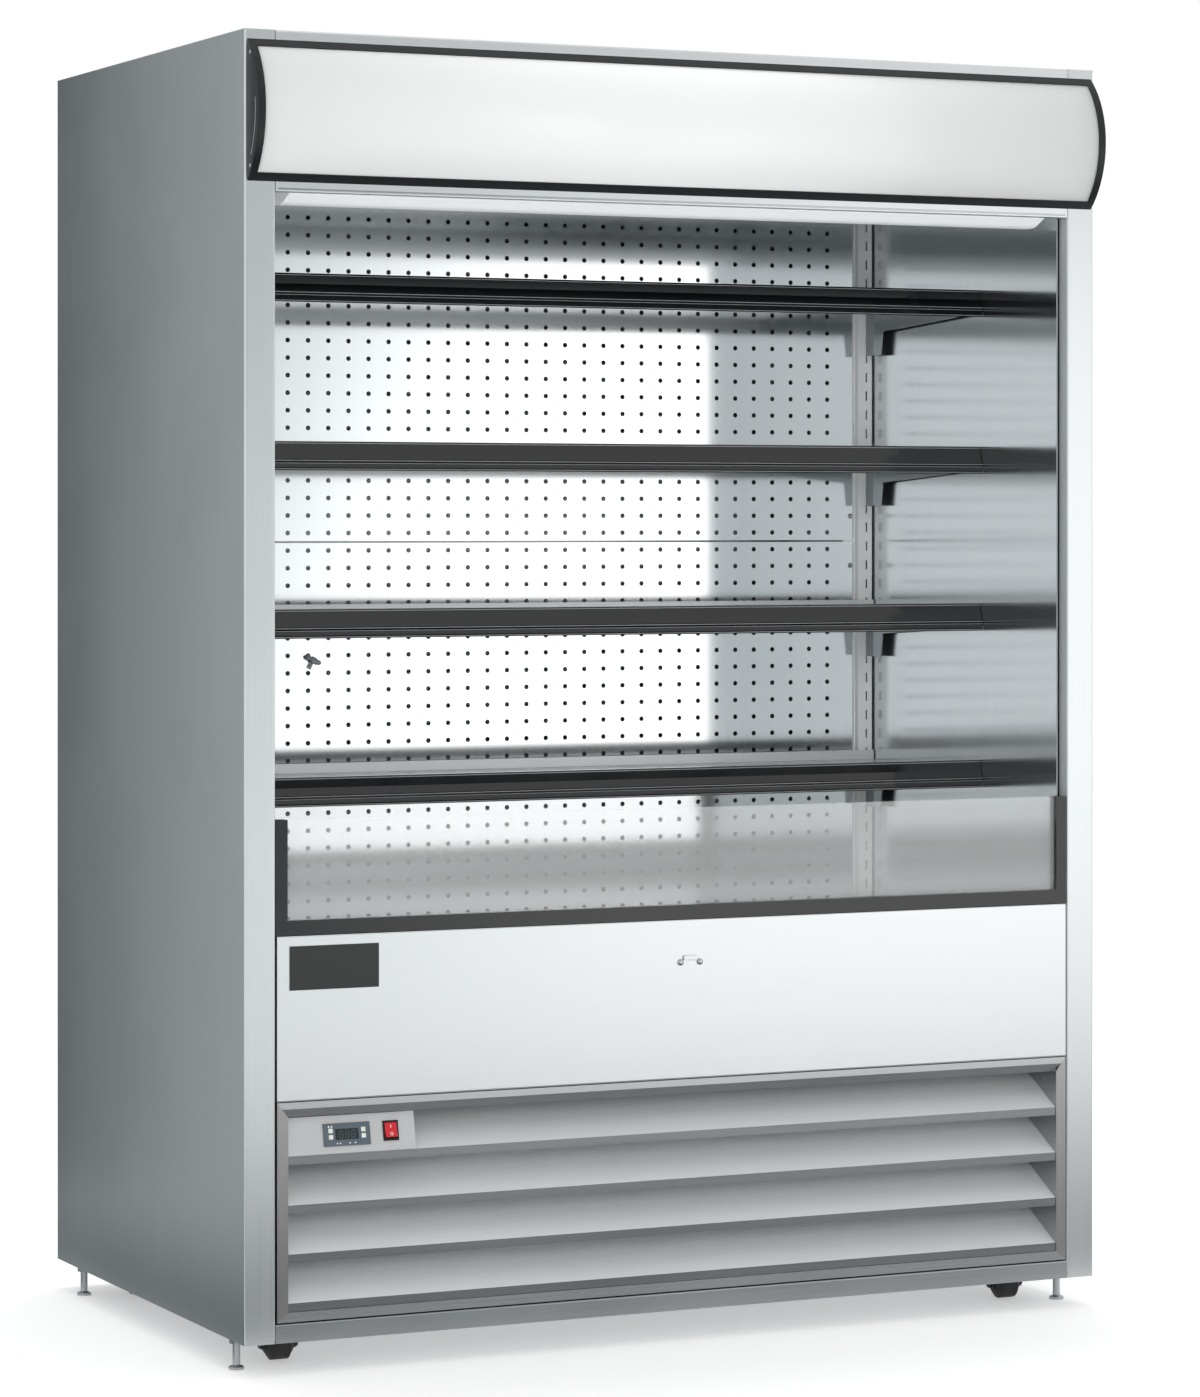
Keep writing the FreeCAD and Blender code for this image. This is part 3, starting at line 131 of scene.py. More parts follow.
# ---------------------------------------------------------------- refrigeration
# Condenser and evaporator are packs of thin aluminium fins pressed on copper tube; the compressor
# is a welded steel can. They are fastened to the pan and stand on the well's floor.


def fin_pack(name, pitch):
    """Aluminium fins seen edge on: bands along X, one per pitch, with painted shade in the gaps
    between them.
    """
    made, tree, shader = material(name, Metallic=1.0, Roughness=0.35)
    place = add(tree, "TexCoord", {}, {}).outputs["Object"]
    band = 2 * math.pi / 20  # a wave texture repeats at this distance when its scale is 1
    bands = add(tree, "TexWave", {"bands_direction": "X"},
                {"Vector": place, "Scale": band / pitch})
    # the dark colour is painted shade in the gaps between the fins
    colour = add(tree, "Mix", {"data_type": "RGBA"},
                 {"Factor": bands.outputs["Fac"], 6: linear("#2b2d2e"), 7: linear("#b4b8ba")})
    bump = add(tree, "Bump", {},
               {"Height": bands.outputs["Fac"], "Distance": 0.001, "Strength": 0.6})
    tree.links.new(colour.outputs[2], shader.inputs["Base Color"])
    tree.links.new(bump.outputs["Normal"], shader.inputs["Normal"])
    return made


# Mill-finish aluminium fins: 2.2 mm apart on the real coil, drawn 4 mm apart so that they show.
dress(fin_pack("aluminium_fin_pack", 0.004), "condenser_coil", "evaporator_coil")

# Glass-filled nylon: matte black, with fine moulding texture.
nylon = mottled("moulded_black_nylon", "#121314", "#1c1e1f", 0.006, 0.5, 0.08, 0.00005)
dress(nylon, "condenser_fan", "evaporator_fan_left", "evaporator_fan_right", "air_outlet_honeycomb")

# ---------------------------------------------------------------- insulation
# Rigid polyurethane foam, foamed in place between the casing and the liner; it bonds them
# together.


def dress_by_face(node, finishes, choose):
    """Gives a CAD node several finishes; choose takes all its face normals and centres and returns
    each face's finish by number."""
    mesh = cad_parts[node].data
    mesh.materials.clear()
    for finish in finishes:
        mesh.materials.append(finish)
    count = len(mesh.polygons)
    normals, centres = np.empty(count * 3), np.empty(count * 3)
    mesh.polygons.foreach_get("normal", normals)
    mesh.polygons.foreach_get("center", centres)
    chosen = choose(normals.reshape(-1, 3), centres.reshape(-1, 3))
    mesh.polygons.foreach_set("material_index", chosen.astype(np.int32))
    mesh.update()


# Its skin is matte and cream, with cells about 2 mm wide and darker flow marks. Faces towards the
# front, the back and the machine space are drawn dull grey as aluminium foil; on the front faces
# this grey is also painted shade in the slot beside the liner.
foam = mottled("polyurethane_foam", "#cdb878", "#e3d4a0", 0.02, 0.85, 0.05, 0.0004)
foil_and_slot_shade = mottled("dull_foil_and_painted_slot_shade", "#8f9294", "#a0a3a5", 0.05, 0.5, 0.05, 0.00005,
               Metallic=0.4)
dress_by_face("insulation", (foam, foil_and_slot_shade),
              lambda normals, centres: (normals[:, 2] < -0.5) | (np.abs(normals[:, 1]) > 0.5))

# ---------------------------------------------------------------- casing
# Side panels, roof, back and front skins are folded from brushed stainless sheet, 1.2 mm thick,
# screwed and riveted along their flanges.


def brushed(name, dark, light, along, roughness, spread, relief, **sockets):
    """Brushed sheet: noise stretched along one axis gives the lines left by the belt; a broad noise
    adds the cloudiness of handling, and both drive the colour and the roughness."""
    line_length, line_width = 0.3, 0.002
    made, tree, shader = material(name, **sockets)
    place = add(tree, "TexCoord", {}, {}).outputs["Object"]
    scale = [1 / (line_length if axis == along else line_width) for axis in "XYZ"]
    stretched = add(tree, "Mapping", {}, {"Vector": place, "Scale": scale})
    lines = add(tree, "TexNoise", {},
                {"Vector": stretched.outputs[0], "Scale": 1.0, "Detail": 3.0, "Roughness": 0.65})
    cloud = add(tree, "TexNoise", {}, {"Vector": place, "Scale": 4.0, "Detail": 2.0})
    both = add(tree, "Math", {"operation": "MULTIPLY_ADD"},
               {0: cloud.outputs["Fac"], 1: 0.5, 2: lines.outputs["Fac"]})
    level = {"Value": both.outputs[0], "From Min": 0.5, "From Max": 1.0}
    colour_level = add(tree, "MapRange", {}, level)
    colour = add(tree, "Mix", {"data_type": "RGBA"},
                 {"Factor": colour_level.outputs["Result"], 6: linear(dark), 7: linear(light)})
    gloss = add(tree, "MapRange", {},
                {**level, "To Min": roughness - spread, "To Max": roughness + spread})
    bump = add(tree, "Bump", {},
               {"Height": lines.outputs["Fac"], "Distance": relief, "Strength": 0.3})
    tree.links.new(colour.outputs[2], shader.inputs["Base Color"])
    tree.links.new(gloss.outputs["Result"], shader.inputs["Roughness"])
    tree.links.new(bump.outputs["Normal"], shader.inputs["Normal"])
    return made


# Belt-brushed stainless steel, lines running up the panel. The real lines are 0.1 mm wide and are
# drawn 2 mm wide so that they show; they blur reflections into soft upright shades.
upright_brushed = brushed("stainless_brushed_upright", "#cdd1d2", "#d6d9da", "Z", 0.3, 0.02,
                          0.000004, Metallic=1.0)
# The jambs fold back beside the opening; those narrow flanges are painted a paler, more matte grey
# than the rest of the same sheet, as painted light.
flange_painted_light = brushed("stainless_flange_painted_light", "#c3c8ca", "#cdd2d3", "Z", 0.4, 0.03, 0.000004,
                      Metallic=0.3)
dress(upright_brushed, "back_panel")
flange_limit = 0.7015  # half of the width between the jambs, and a little more
for side_panel in ("left_side_panel", "right_side_panel"):
    dress_by_face(side_panel, (upright_brushed, flange_painted_light),
                  lambda normals, centres: ((np.abs(normals[:, 0]) > 0.5)
                                            & (np.abs(centres[:, 0]) < flange_limit)))
level_brushed = brushed("stainless_brushed_level", "#d8dbdc", "#dbdedf", "X", 0.3, 0.01, 0.000002,
                        Metallic=1.0)
dress(level_brushed, "roof_panel", "header_panel", "lower_front_panel")

# The plinth strip is the same sheet left unpolished: greyer and duller.
plain_steel = brushed("stainless_mill_finish", "#999da0", "#a4a8ab", "X", 0.34, 0.03, 0.000006,
                      Metallic=1.0)
dress(plain_steel, "bottom_rail")

# ---------------------------------------------------------------- liner and fixed inner sheets
# The food side is a brighter, finer-polished stainless sheet, riveted round the foam. It mirrors
# the shelves softly.

# It is brushed upwards, so reflections are smeared level and stay crisp in height.
liner_steel = brushed("stainless_satin_liner", "#d0d4d6", "#d7dadb", "Z", 0.17, 0.01, 0.000001,
                      Metallic=1.0, Anisotropic=0.85)
dress(liner_steel, "inner_liner")
satin_steel = brushed("stainless_satin_level", "#c9cdcf", "#d2d5d6", "X", 0.22, 0.02, 0.000002,
                      Metallic=1.0)
dress(satin_steel, "ceiling_panel", "evaporator_fan_plate")
# Shelves, deck and return grille are wiped daily: finely scratched, paler and duller.
scratched_steel = brushed("stainless_scratched_deck", "#dfe2e3", "#e8eaeb", "X", 0.32, 0.03,
                          0.000003, Metallic=0.5)
dress(scratched_steel, "deck_panel", "return_grille", "shelf_1", "shelf_2", "shelf_3", "shelf_4")

# Shelf brackets are cut from dark polished plate and mirror what stands beside them.
bracket_steel = brushed("steel_polished_plate", "#868c90", "#91979a", "Y", 0.16, 0.01, 0.000001,
                        Metallic=0.7)
dress(bracket_steel, "shelf_brackets")

# The uprights are zinc-coated; their near-white, half-matte colour is painted light that keeps them
# bright at the back of the cabinet.
upright_pale_painted_light = mottled("zinc_upright_painted_light", "#f0f2f2", "#f6f7f7", 0.15, 0.3, 0.03, 0.000004,
                       Metallic=0.1)
dress(upright_pale_painted_light, "slotted_uprights")

# ---------------------------------------------------------------- perforated rear panels
# Two stainless sheets, 1 mm thick, punched with round holes through which the cold air blows. Four
# screws beside the seam between them hold both.


def new_piece(name, points, faces, finish, body, smooth=False):
    """A mesh piece in place, dressed, riding on its body and given its name."""
    mesh = bpy.data.meshes.new(name)
    mesh.from_pydata(np.asarray(points).reshape(-1, 3).tolist(), [],
                     [[int(corner) for corner in face] for face in faces])
    mesh.materials.append(finish)
    if smooth:
        mesh.shade_smooth()
    made = bpy.data.objects.new(name, mesh)
    bpy.context.scene.collection.objects.link(made)
    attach(made, body)
    return made


def extent(node):
    """The lowest and the highest corner of a CAD node, as arrays."""
    return [np.array(corner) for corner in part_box(node)]


def flat_grid(xs, zs, y):
    """A sheet facing -Y: corners at every x and z of two lists, one quad between neighbours."""
    x, z = np.meshgrid(xs, zs, indexing="ij")
    points = np.stack([x, np.full_like(x, y), z], -1).reshape(-1, 3)
    i, j = np.meshgrid(np.arange(len(xs) - 1), np.arange(len(zs) - 1), indexing="ij")
    first = (i * len(zs) + j).ravel()
    return points, np.stack([first, first + len(zs), first + len(zs) + 1, first + 1], -1)


def punched_cells(xs, zs, pitch, radius, y):
    """Rectangles round every (x, z), each with a round hole: points on the hole are joined to as
    many on the rectangle's edge, three between each two corners, so that neighbours meet point to
    point."""
    one, along = np.ones(4), np.arange(4) / 2 - 1  # one side's first corner and next three points
    edge_x = np.concatenate([along, one, -along, -one]) * pitch[0] / 2
    edge_z = np.concatenate([-one, along, one, -along]) * pitch[1] / 2
    angle = np.arctan2(edge_z / pitch[1], edge_x / pitch[0])
    ring = len(angle)
    x, z = (a.reshape(-1, 1) for a in np.meshgrid(xs, zs, indexing="ij"))
    level = np.full((x.size, ring), y)
    outer = np.stack([x + edge_x, level, z + edge_z], -1)
    inner = np.stack([x + radius * np.cos(angle), level, z + radius * np.sin(angle)], -1)
    points = np.concatenate([outer, inner], 1).reshape(-1, 3)
    k = np.arange(ring)
    cell = np.stack([k, (k + 1) % ring, ring + (k + 1) % ring, ring + k], -1)
    return points, (np.arange(x.size)[:, None, None] * 2 * ring + cell).reshape(-1, 4)


hole_columns = 34
hole_rows = 60  # more than fit: those off a sheet are left out
hole_pitch = (0.0367, 0.02953)  # level and upright
hole_radius = 0.0042
top_hole_row = 1.8137
row_share = 0.95  # of half a pitch on each side of a row has to lie on the sheet
rear_sheet = 0.001
seam_gap = 0.0026
weld_reach = 0.00001  # points nearer to each other than this are one


def punched_panel(node, name, finish, cut_below, cut_above):
    """A flat sheet as large as the CAD panel's face, with the rows of holes that fall on it; its
    lower and upper edges stand back by the two cuts."""
    low, high = extent(node)
    y = low[1]
    half_x, half_z = hole_pitch[0] / 2, hole_pitch[1] / 2
    columns = (np.arange(hole_columns) - (hole_columns - 1) / 2) * hole_pitch[0]
    rows = top_hole_row - np.arange(hole_rows) * hole_pitch[1]
    margin = row_share * half_z
    rows = rows[(rows - margin > low[2]) & (rows + margin < high[2])][::-1]
    steps_x = columns[0] - half_x + np.arange(4 * len(columns) + 1) * half_x / 2
    steps_z = rows[0] - half_z + np.arange(4 * len(rows) + 1) * half_z / 2
    sides = (low[0], steps_x[0]), (steps_x[-1], high[0])
    ends = (low[2], steps_z[0]), (steps_z[-1], high[2])
    borders = [(xs, steps_z) for xs in sides] + [(steps_x, zs) for zs in ends]
    borders += [(xs, zs) for zs in ends for xs in sides]
    parts = [punched_cells(columns, rows, hole_pitch, hole_radius, y)]
    parts += [flat_grid(np.array(xs), np.array(zs), y) for xs, zs in borders
              if zs[-1] - zs[0] > weld_reach]
    points, faces, count = [], [], 0
    for part_points, part_faces in parts:
        points.append(part_points)
        faces.append(part_faces + count)
        count += len(part_points)
    points = np.concatenate(points)
    points[:, 2] = np.clip(points[:, 2], low[2] + cut_below, high[2] - cut_above)
    made = new_piece(name, points, np.concatenate(faces), finish, "cabinet")
    weld = made.modifiers.new("weld", "WELD")
    weld.merge_threshold = weld_reach
    wall = made.modifiers.new("sheet", "SOLIDIFY")
    wall.thickness = rear_sheet
    wall.offset = -1
    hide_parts(node)


# Stainless with a bright fine polish: mirror images with edges a few millimetres soft.
panel_steel = brushed("stainless_bright_panel", "#e6e9ea", "#eaecec", "Z", 0.09, 0.005, 0.0000001,
                      Metallic=1.0)
punched_panel("rear_panel_upper", "punched_panel_upper", panel_steel, seam_gap / 2, 0)
punched_panel("rear_panel_lower", "punched_panel_lower", panel_steel, 0, seam_gap / 2)


def fasteners(name, centres, out, radius, height, finish):
    """Screw or rivet heads on the cabinet as one piece: each rises from its centre along the unit
    vector out in rings, whose shares of the radius and the height are listed below."""
    sides = 12
    rings = ((1, 0), (1, 0.45), (0.82, 0.85), (0.45, 1))
    out = np.array(out, float)
    side = np.cross(out, (0, 0, 1.0))
    side /= np.linalg.norm(side)
    up = np.cross(side, out)
    points, faces = [], []
    for centre in centres:
        first = len(points)
        for reach, lift in rings:
            middle = np.array(centre) + out * (height * lift)
            for turn in np.arange(sides) * 2 * math.pi / sides:
                rim = side * math.cos(turn) + up * math.sin(turn)
                points.append(middle + radius * reach * rim)
        for base in range(first, len(points) - sides, sides):
            for k in range(sides):
                a, b = base + k, base + (k + 1) % sides
                faces.append((a, b, b + sides, a + sides))
        faces.append(range(len(points) - sides, len(points)))
    new_piece(name, points, faces, finish, "cabinet", True)


panel_low, panel_high = extent("rear_panel_upper")
seam = panel_low[2]
screw_inset, screw_step = 0.007, 0.044  # from the panel's end and from the seam
screw_x = panel_high[0] - screw_inset
screw_places = [(x, panel_low[1], seam + z) for x in (-screw_x, screw_x)
                for z in (-screw_step, screw_step)]
fasteners("rear_panel_screws", screw_places, (0, -1, 0), 0.0045, 0.0018, zinc)

# Grey plastic capsule on a sprung steel clip: it reads the air that leaves the rear panels.
probe_grey = mottled("moulded_grey_capsule", "#8b9093", "#9ca1a3", 0.01, 0.4, 0.05, 0.00002)
dress(probe_grey, "temperature_probe")

# ---------------------------------------------------------------- price rails
# Extruded black PVC rails, as long as the shelves. Each is clipped over the front fold of its
# shelf and slides out with it.

# Extruded PVC: glossy black; near level, it mirrors the bright studio as dark grey.
rail_plastic = mottled("extruded_black_pvc", "#07090a", "#0b0d0f", 0.09, 0.1, 0.02, 0.000003,
                       IOR=1.55)
dress(rail_plastic, "price_rail_1", "price_rail_2", "price_rail_3", "price_rail_4", "riser_frame")

# Four ridges run along each rail's face; their highlights are painted on as fine pale grey strips.
ridge_highlight_plastic = mottled("pvc_ridge_painted_highlight", "#8d9294", "#9ca1a3", 0.05, 0.25, 0.04, 0.000005)
ridge_height = 0.0009
ridge_foot, ridge_top = 0.0003, 0.0001  # how far its two edges stand off the face
ridge_places = ((0.0145, 0.0035), (0.0044, 0.0312), (0.0064, 0.0352), (0.0001, 0.0447))
for number in range(1, 5):
    low, high = extent("price_rail_%d" % number)
    points = []
    for back, down in ridge_places:  # from the rail's front and from its top
        y, z = low[1] + back, high[2] - down
        points += [(low[0], y - ridge_foot, z), (high[0], y - ridge_foot, z),
                   (high[0], y - ridge_top, z + ridge_height),
                   (low[0], y - ridge_top, z + ridge_height)]
    new_piece("rail_ridges_%d" % number, points, np.arange(len(points)).reshape(-1, 4),
              ridge_highlight_plastic, "shelf_%d_body" % number)

# ---------------------------------------------------------------- interior lamp
# A frosted diffuser of extruded acrylic over an LED strip, below the header; the strip light behind
# the canopy is made in the same way.

# Frosted acrylic: milky white and faintly glossy; it passes on a little of the light behind it.
frosted = mottled("frosted_acrylic", "#eef0f1", "#f6f7f7", 0.02, 0.35, 0.05, 0.00002,
                  Emission_Color=(0.9, 0.95, 0.97, 1), Emission_Strength=0.22)
dress(frosted, "interior_lamp")

# ---------------------------------------------------------------- canopy
# An opal acrylic sheet, 3 mm thick, bent to an arc and slid into a grooved black frame. Screws
# hold the moulded cap at each end of the frame's bars.

frame_low, frame_high = extent("canopy_frame")
casing_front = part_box("left_side_panel")[0][1]
chord = frame_high[2] - frame_low[2]
bulge = casing_front - frame_low[1]
arc_radius = (chord ** 2 / 4 + bulge ** 2) / (2 * bulge)
arc_y = frame_low[1] + arc_radius
arc_z = (frame_high[2] + frame_low[2]) / 2
sheet_cover = 0.002  # groove lip in front of the acrylic
acrylic = 0.003


def arc_sheet(radius, reach, x0, x1, steps):
    """A sheet bent about a level axis: y = centre - r cos(a), z = centre + r sin(a), over
    a = -reach to reach, from x0 to x1."""
    angle, x = np.meshgrid(np.linspace(-reach, reach, steps), np.array([x0, x1]), indexing="ij")
    points = np.stack([x, arc_y - radius * np.cos(angle), arc_z + radius * np.sin(angle)], -1)
    i = np.arange(steps - 1) * 2
    return points.reshape(-1, 3), np.stack([i, i + 1, i + 3, i + 2], -1)


acrylic_low, acrylic_high = extent("canopy_panel")
sheet_radius = arc_radius - sheet_cover
sheet_reach = math.asin((acrylic_high[2] - arc_z) / sheet_radius)
arc_points = 49
points, faces = arc_sheet(sheet_radius, sheet_reach, acrylic_low[0], acrylic_high[0], arc_points)

# Opal acrylic: white all through, with a smooth cast gloss.
opal = mottled("opal_acrylic", "#e9ebeb", "#edeeee", 0.4, 0.3, 0.03, 0.00001)
canopy_sheet = new_piece("canopy_sheet", points, faces, opal, "cabinet", True)
wall = canopy_sheet.modifiers.new("sheet", "SOLIDIFY")
wall.thickness = acrylic
wall.offset = -1
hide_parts("canopy_panel")

# Extruded frame bars and moulded end caps: black, satin.
canopy_black = mottled("moulded_black_abs", "#0d1011", "#141719", 0.05, 0.35, 0.04, 0.00002,
                       Specular_IOR_Level=0.35)
dress(canopy_black, "canopy_frame", "switch_housing")

# Two self-tapping screws hold each end cap, near the ends of its chord.
hands = (("left", -1), ("right", 1))
cap_inset_y, cap_inset_z = 0.013, 0.022  # from the casing's front and from the chord's end
for hand, side in hands:
    places = [(side * frame_high[0], casing_front - cap_inset_y, z)
              for z in (frame_low[2] + cap_inset_z, frame_high[2] - cap_inset_z)]
    fasteners("cap_screws_" + hand, places, (side, 0, 0), 0.003, 0.0015, zinc)

# The acrylic's edge shows through a curved slot in each end cap, as a thin pale line.
film = 0.0001  # how far flat marks stand proud of their face
slot_radius, slot_width = arc_radius - 0.0125, 0.0011
slot_from, slot_to = -0.72, 0.16  # shares of the sheet's reach
slot_steps = 24
angle = np.linspace(slot_from, slot_to, slot_steps + 1) * sheet_reach
for hand, side in hands:
    cap_x = np.full(len(angle), side * (frame_high[0] + film))
    rims = [np.stack([cap_x, arc_y - radius * np.cos(angle), arc_z + radius * np.sin(angle)], -1)
            for radius in (slot_radius, slot_radius - slot_width)]
    i = np.arange(slot_steps)
    quads = np.stack([i, i + 1, i + 2 + slot_steps, i + 1 + slot_steps], -1)[:, ::-side]
    new_piece("cap_slot_" + hand, np.concatenate(rims), quads, opal, "cabinet")

# ---------------------------------------------------------------- glass riser
# Toughened float glass, 6 mm, set in a black extruded frame of three bars that stands on the
# front wall.

# Its face shows a pale even veil, the studio's reflection, which half hides what stands behind it;
# the glass is drawn as a thin pale see-through body, so the veil is a painted reflection.
glass, tree, shader = material("toughened_glass", Roughness=0.03, IOR=1.5, Alpha=0.18)
shader.inputs["Base Color"].default_value = linear("#f6f8f8")
dress(glass, "riser_glass")

# ---------------------------------------------------------------- lower front panel
# A pan of stainless sheet with flanges on all four edges, screwed to the front posts. It carries
# a plain dark plate, stuck on with tape, and two screws at its middle.


def slab(name, low, high, edge, finish, body):
    """A plate between two corners with its edges rounded off by a bevel."""
    x, y, z = ((low[i], high[i]) for i in range(3))
    points = [(a, b, c) for a in x for b in y for c in z]
    faces = [(0, 1, 3, 2), (4, 6, 7, 5), (0, 4, 5, 1), (2, 3, 7, 6), (0, 2, 6, 4), (1, 5, 7, 3)]
    made = new_piece(name, points, faces, finish, body)
    bevel = made.modifiers.new("edges", "BEVEL")
    bevel.width = edge
    bevel.segments = 2


# Printed dark grey film on aluminium: satin, a little lighter than the rails.
plate_grey = mottled("printed_aluminium_plate", "#1f2020", "#262727", 0.02, 0.4, 0.04, 0.00001)
plate_width, plate_height, plate_thickness = 0.147, 0.0675, 0.0012
plate_left, plate_down = 0.02, 0.016  # from the panel's left edge and from its top
front_low, front_high = extent("lower_front_panel")
plate_low = (front_low[0] + plate_left, front_low[1] - plate_thickness,
             front_high[2] - plate_down - plate_height)
plate_high = (plate_low[0] + plate_width, front_low[1], plate_low[2] + plate_height)
slab("blank_name_plate", plate_low, plate_high, 0.0004, plate_grey, "cabinet")

# Two chromed screws, with a clear nylon bridge above them.
chrome = mottled("chromed_screw", "#a9adaf", "#b5b8ba", 0.01, 0.15, 0.03, 0.00001, Metallic=1.0)
clear_nylon = mottled("clear_nylon_bridge", "#dfe2e3", "#e8eaeb", 0.01, 0.3, 0.05, 0.00002)
clip_x, clip_z, clip_half = 0.004, front_high[2] - 0.068, 0.017
clip_places = [(clip_x + side * clip_half, front_low[1], clip_z) for side in (-1, 1)]
fasteners("front_panel_screws", clip_places, (0, -1, 0), 0.0052, 0.0032, chrome)
bridge_left, bridge_right, bridge_reach = 0.012, 0.011, 0.005
bridge_foot, bridge_top = 0.003, 0.011  # above the screws' centres
slab("front_panel_bridge",
     (clip_x - bridge_left, front_low[1] - bridge_reach, clip_z + bridge_foot),
     (clip_x + bridge_right, front_low[1], clip_z + bridge_top), 0.0015, clear_nylon, "cabinet")

# A rolled bead stiffens the foot of the header's face.
header_low, header_high = extent("header_panel")
bead_end, bead_rise, bead_height, bead_reach = 0.004, 0.0035, 0.003, 0.0012
slab("header_bead",
     (header_low[0] + bead_end, header_low[1] - bead_reach, header_low[2] + bead_rise),
     (header_high[0] - bead_end, header_low[1], header_low[2] + bead_rise + bead_height), 0.0005,
     chrome, "cabinet")

# ---------------------------------------------------------------- louvre
# Folded stainless bars, mitred at the corners, whose cheeks carry four sloping slats. Each slat
# is riveted to the cheeks through two lugs.

# The slats' broad faces are drawn pale and nearly matte: painted light that keeps them bright in
# the shade of the slat above. The control plate is drawn a darker matte grey and the lips a darker
# half-bright metal, as painted shade on the same folded sheet; the bars keep a grey, half-bright
# metal.
slat_face = brushed("stainless_slat_face_painted_light", "#e0e1e2", "#e6e7e8", "X", 0.45, 0.03, 0.00001,
                    Metallic=0.1)
plate_face = brushed("stainless_plate_painted_shade", "#b3b4b5", "#b9babb", "X", 0.45, 0.03, 0.00001,
                     Metallic=0.1)
lip_steel = brushed("stainless_slat_lip", "#88898b", "#939495", "X", 0.3, 0.015, 0.0000005,
                    Metallic=1.0)
# the level bars are painted a lighter grey and the upright bars a darker, warmer grey: painted
# light and shade on one folded finish
bar_level = brushed("stainless_bar_level", "#b3b4b6", "#b9babb", "X", 0.28, 0.015, 0.0000005,
                    Metallic=1.0)
bar_upright = brushed("stainless_bar_upright", "#a09f9e", "#a8a7a6", "Z", 0.3, 0.015, 0.0000005,
                      Metallic=1.0)
plate_slope, slat_slope = 0.1, 0.5  # how far up or down their unit normals point at least
dress_by_face("louvre_slats", (lip_steel, plate_face, slat_face),
              lambda normals, centres: ((np.abs(normals[:, 2]) > plate_slope).astype(int)
                                        + (np.abs(normals[:, 2]) > slat_slope)))
louvre_low, louvre_high = extent("louvre_frame")
bar_side = 0.018
bar_inner = louvre_high[0] - bar_side
side_bars = bar_inner + 0.001  # face centres past it belong to the side bars
dress_by_face("louvre_frame", (bar_level, bar_upright),
              lambda normals, centres: np.abs(centres[:, 0]) > side_bars)

# Two rivets fasten each end of a slat, behind one another.
lip_level, slat_step, rivet_lift = 0.33351, 0.07467, 0.043
rivet_depths = (0.045, 0.085)
for hand, side in hands:
    places = [(side * bar_inner, louvre_low[1] + depth, lip_level - slat_step * number + rivet_lift)
              for number in range(4) for depth in rivet_depths]
    if hand == "left":
        places = places[len(rivet_depths):]  # the control plate stands before the uppermost
    fasteners("slat_rivets_" + hand, places, (-side, 0, 0), 0.0024, 0.0014, zinc)

# ---------------------------------------------------------------- controls
# A digital controller and a rocker switch, moulded in plastic and snapped into the leaning plate
# at the louvre's left.

housing = mottled("moulded_grey_abs", "#48545d", "#546069", 0.03, 0.35, 0.05, 0.00002)
dress(housing, "controller_housing")
key_plastic = mottled("moulded_white_keys", "#cfd3cf", "#dfe2df", 0.01, 0.45, 0.05, 0.00003)
dress(key_plastic, "controller_key_up", "controller_key_down", "controller_key_timer",
      "controller_key_set")
rocker_red = mottled("moulded_red_rocker", "#bb0d1a", "#d31525", 0.01, 0.25, 0.05, 0.00002)
dress(rocker_red, "switch_rocker")


def flat_faces(node, hint):
    """The flat faces of a node that face within 40 degrees of a hint, widest first: each as centre,
    across, up and out, where out is its normal and across runs level."""
    least_toward, same_direction, same_plane = 0.77, 0.9999, 0.00002
    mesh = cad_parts[node].data
    found = []
    for face in mesh.polygons:
        out, at = np.array(face.normal), np.array(face.center)
        if out @ np.array(hint) < least_toward:
            continue
        corners = [np.array(mesh.vertices[i].co) for i in face.vertices]
        for group in found:
            if (group["out"] @ out > same_direction
                    and abs(group["out"] @ (at - group["at"])) < same_plane):
                group["corners"] += corners
                group["area"] += face.area
                break
        else:
            found.append({"out": out, "at": at, "area": face.area, "corners": corners})
    placed = []
    for group in sorted(found, key=lambda group: -group["area"]):
        corners, out = np.array(group["corners"]), group["out"]
        across = np.cross(out, (0, 0, 1.0))
        across /= np.linalg.norm(across)
        centre = (corners.min(0) + corners.max(0)) / 2
        placed.append((centre, across, np.cross(out, across), out))
    return placed


def printed(name, face, strokes, finish, body):
    """Flat ink marks that stand proud of a face by the film: each stroke is a quad given in the
    face's own axes."""
    centre, across, up, out = face
    points = [centre + out * film + across * a + up * b for stroke in strokes for a, b in stroke]
    new_piece(name, points, np.arange(len(points)).reshape(-1, 4), finish, body)


def bar_stroke(a, b, width, height):
    """A bar of this width and height round (a, b), as one quad."""
    return [(a - width / 2, b - height / 2), (a + width / 2, b - height / 2),
            (a + width / 2, b + height / 2), (a - width / 2, b + height / 2)]


def ring_strokes(a, b, radius, thickness, sides=16):
    """A ring as quads between two circles, r and r - thickness, over equal turns."""
    angle = np.arange(sides + 1) * 2 * math.pi / sides
    rim = [(math.cos(t), math.sin(t)) for t in angle]
    inner = radius - thickness
    return [[(a + radius * p[0], b + radius * p[1]), (a + radius * q[0], b + radius * q[1]),
             (a + inner * q[0], b + inner * q[1]), (a + inner * p[0], b + inner * p[1])]
            for p, q in zip(rim, rim[1:])]


# White ink on the rocker: I on the upper half and O on the lower.
white_ink = mottled("white_printing_ink", "#e4e6e6", "#f0f1f1", 0.01, 0.5, 0.05, 0.00001)
forward = (0, -1, 0)
upper, lower = sorted(flat_faces("switch_rocker", forward)[:2], key=lambda face: -face[0][2])
printed("switch_on_mark", upper, [bar_stroke(0, 0, 0.0011, 0.005)], white_ink,
        "switch_rocker_body")
printed("switch_off_mark", lower, ring_strokes(0, 0, 0.0026, 0.0008), white_ink,
        "switch_rocker_body")

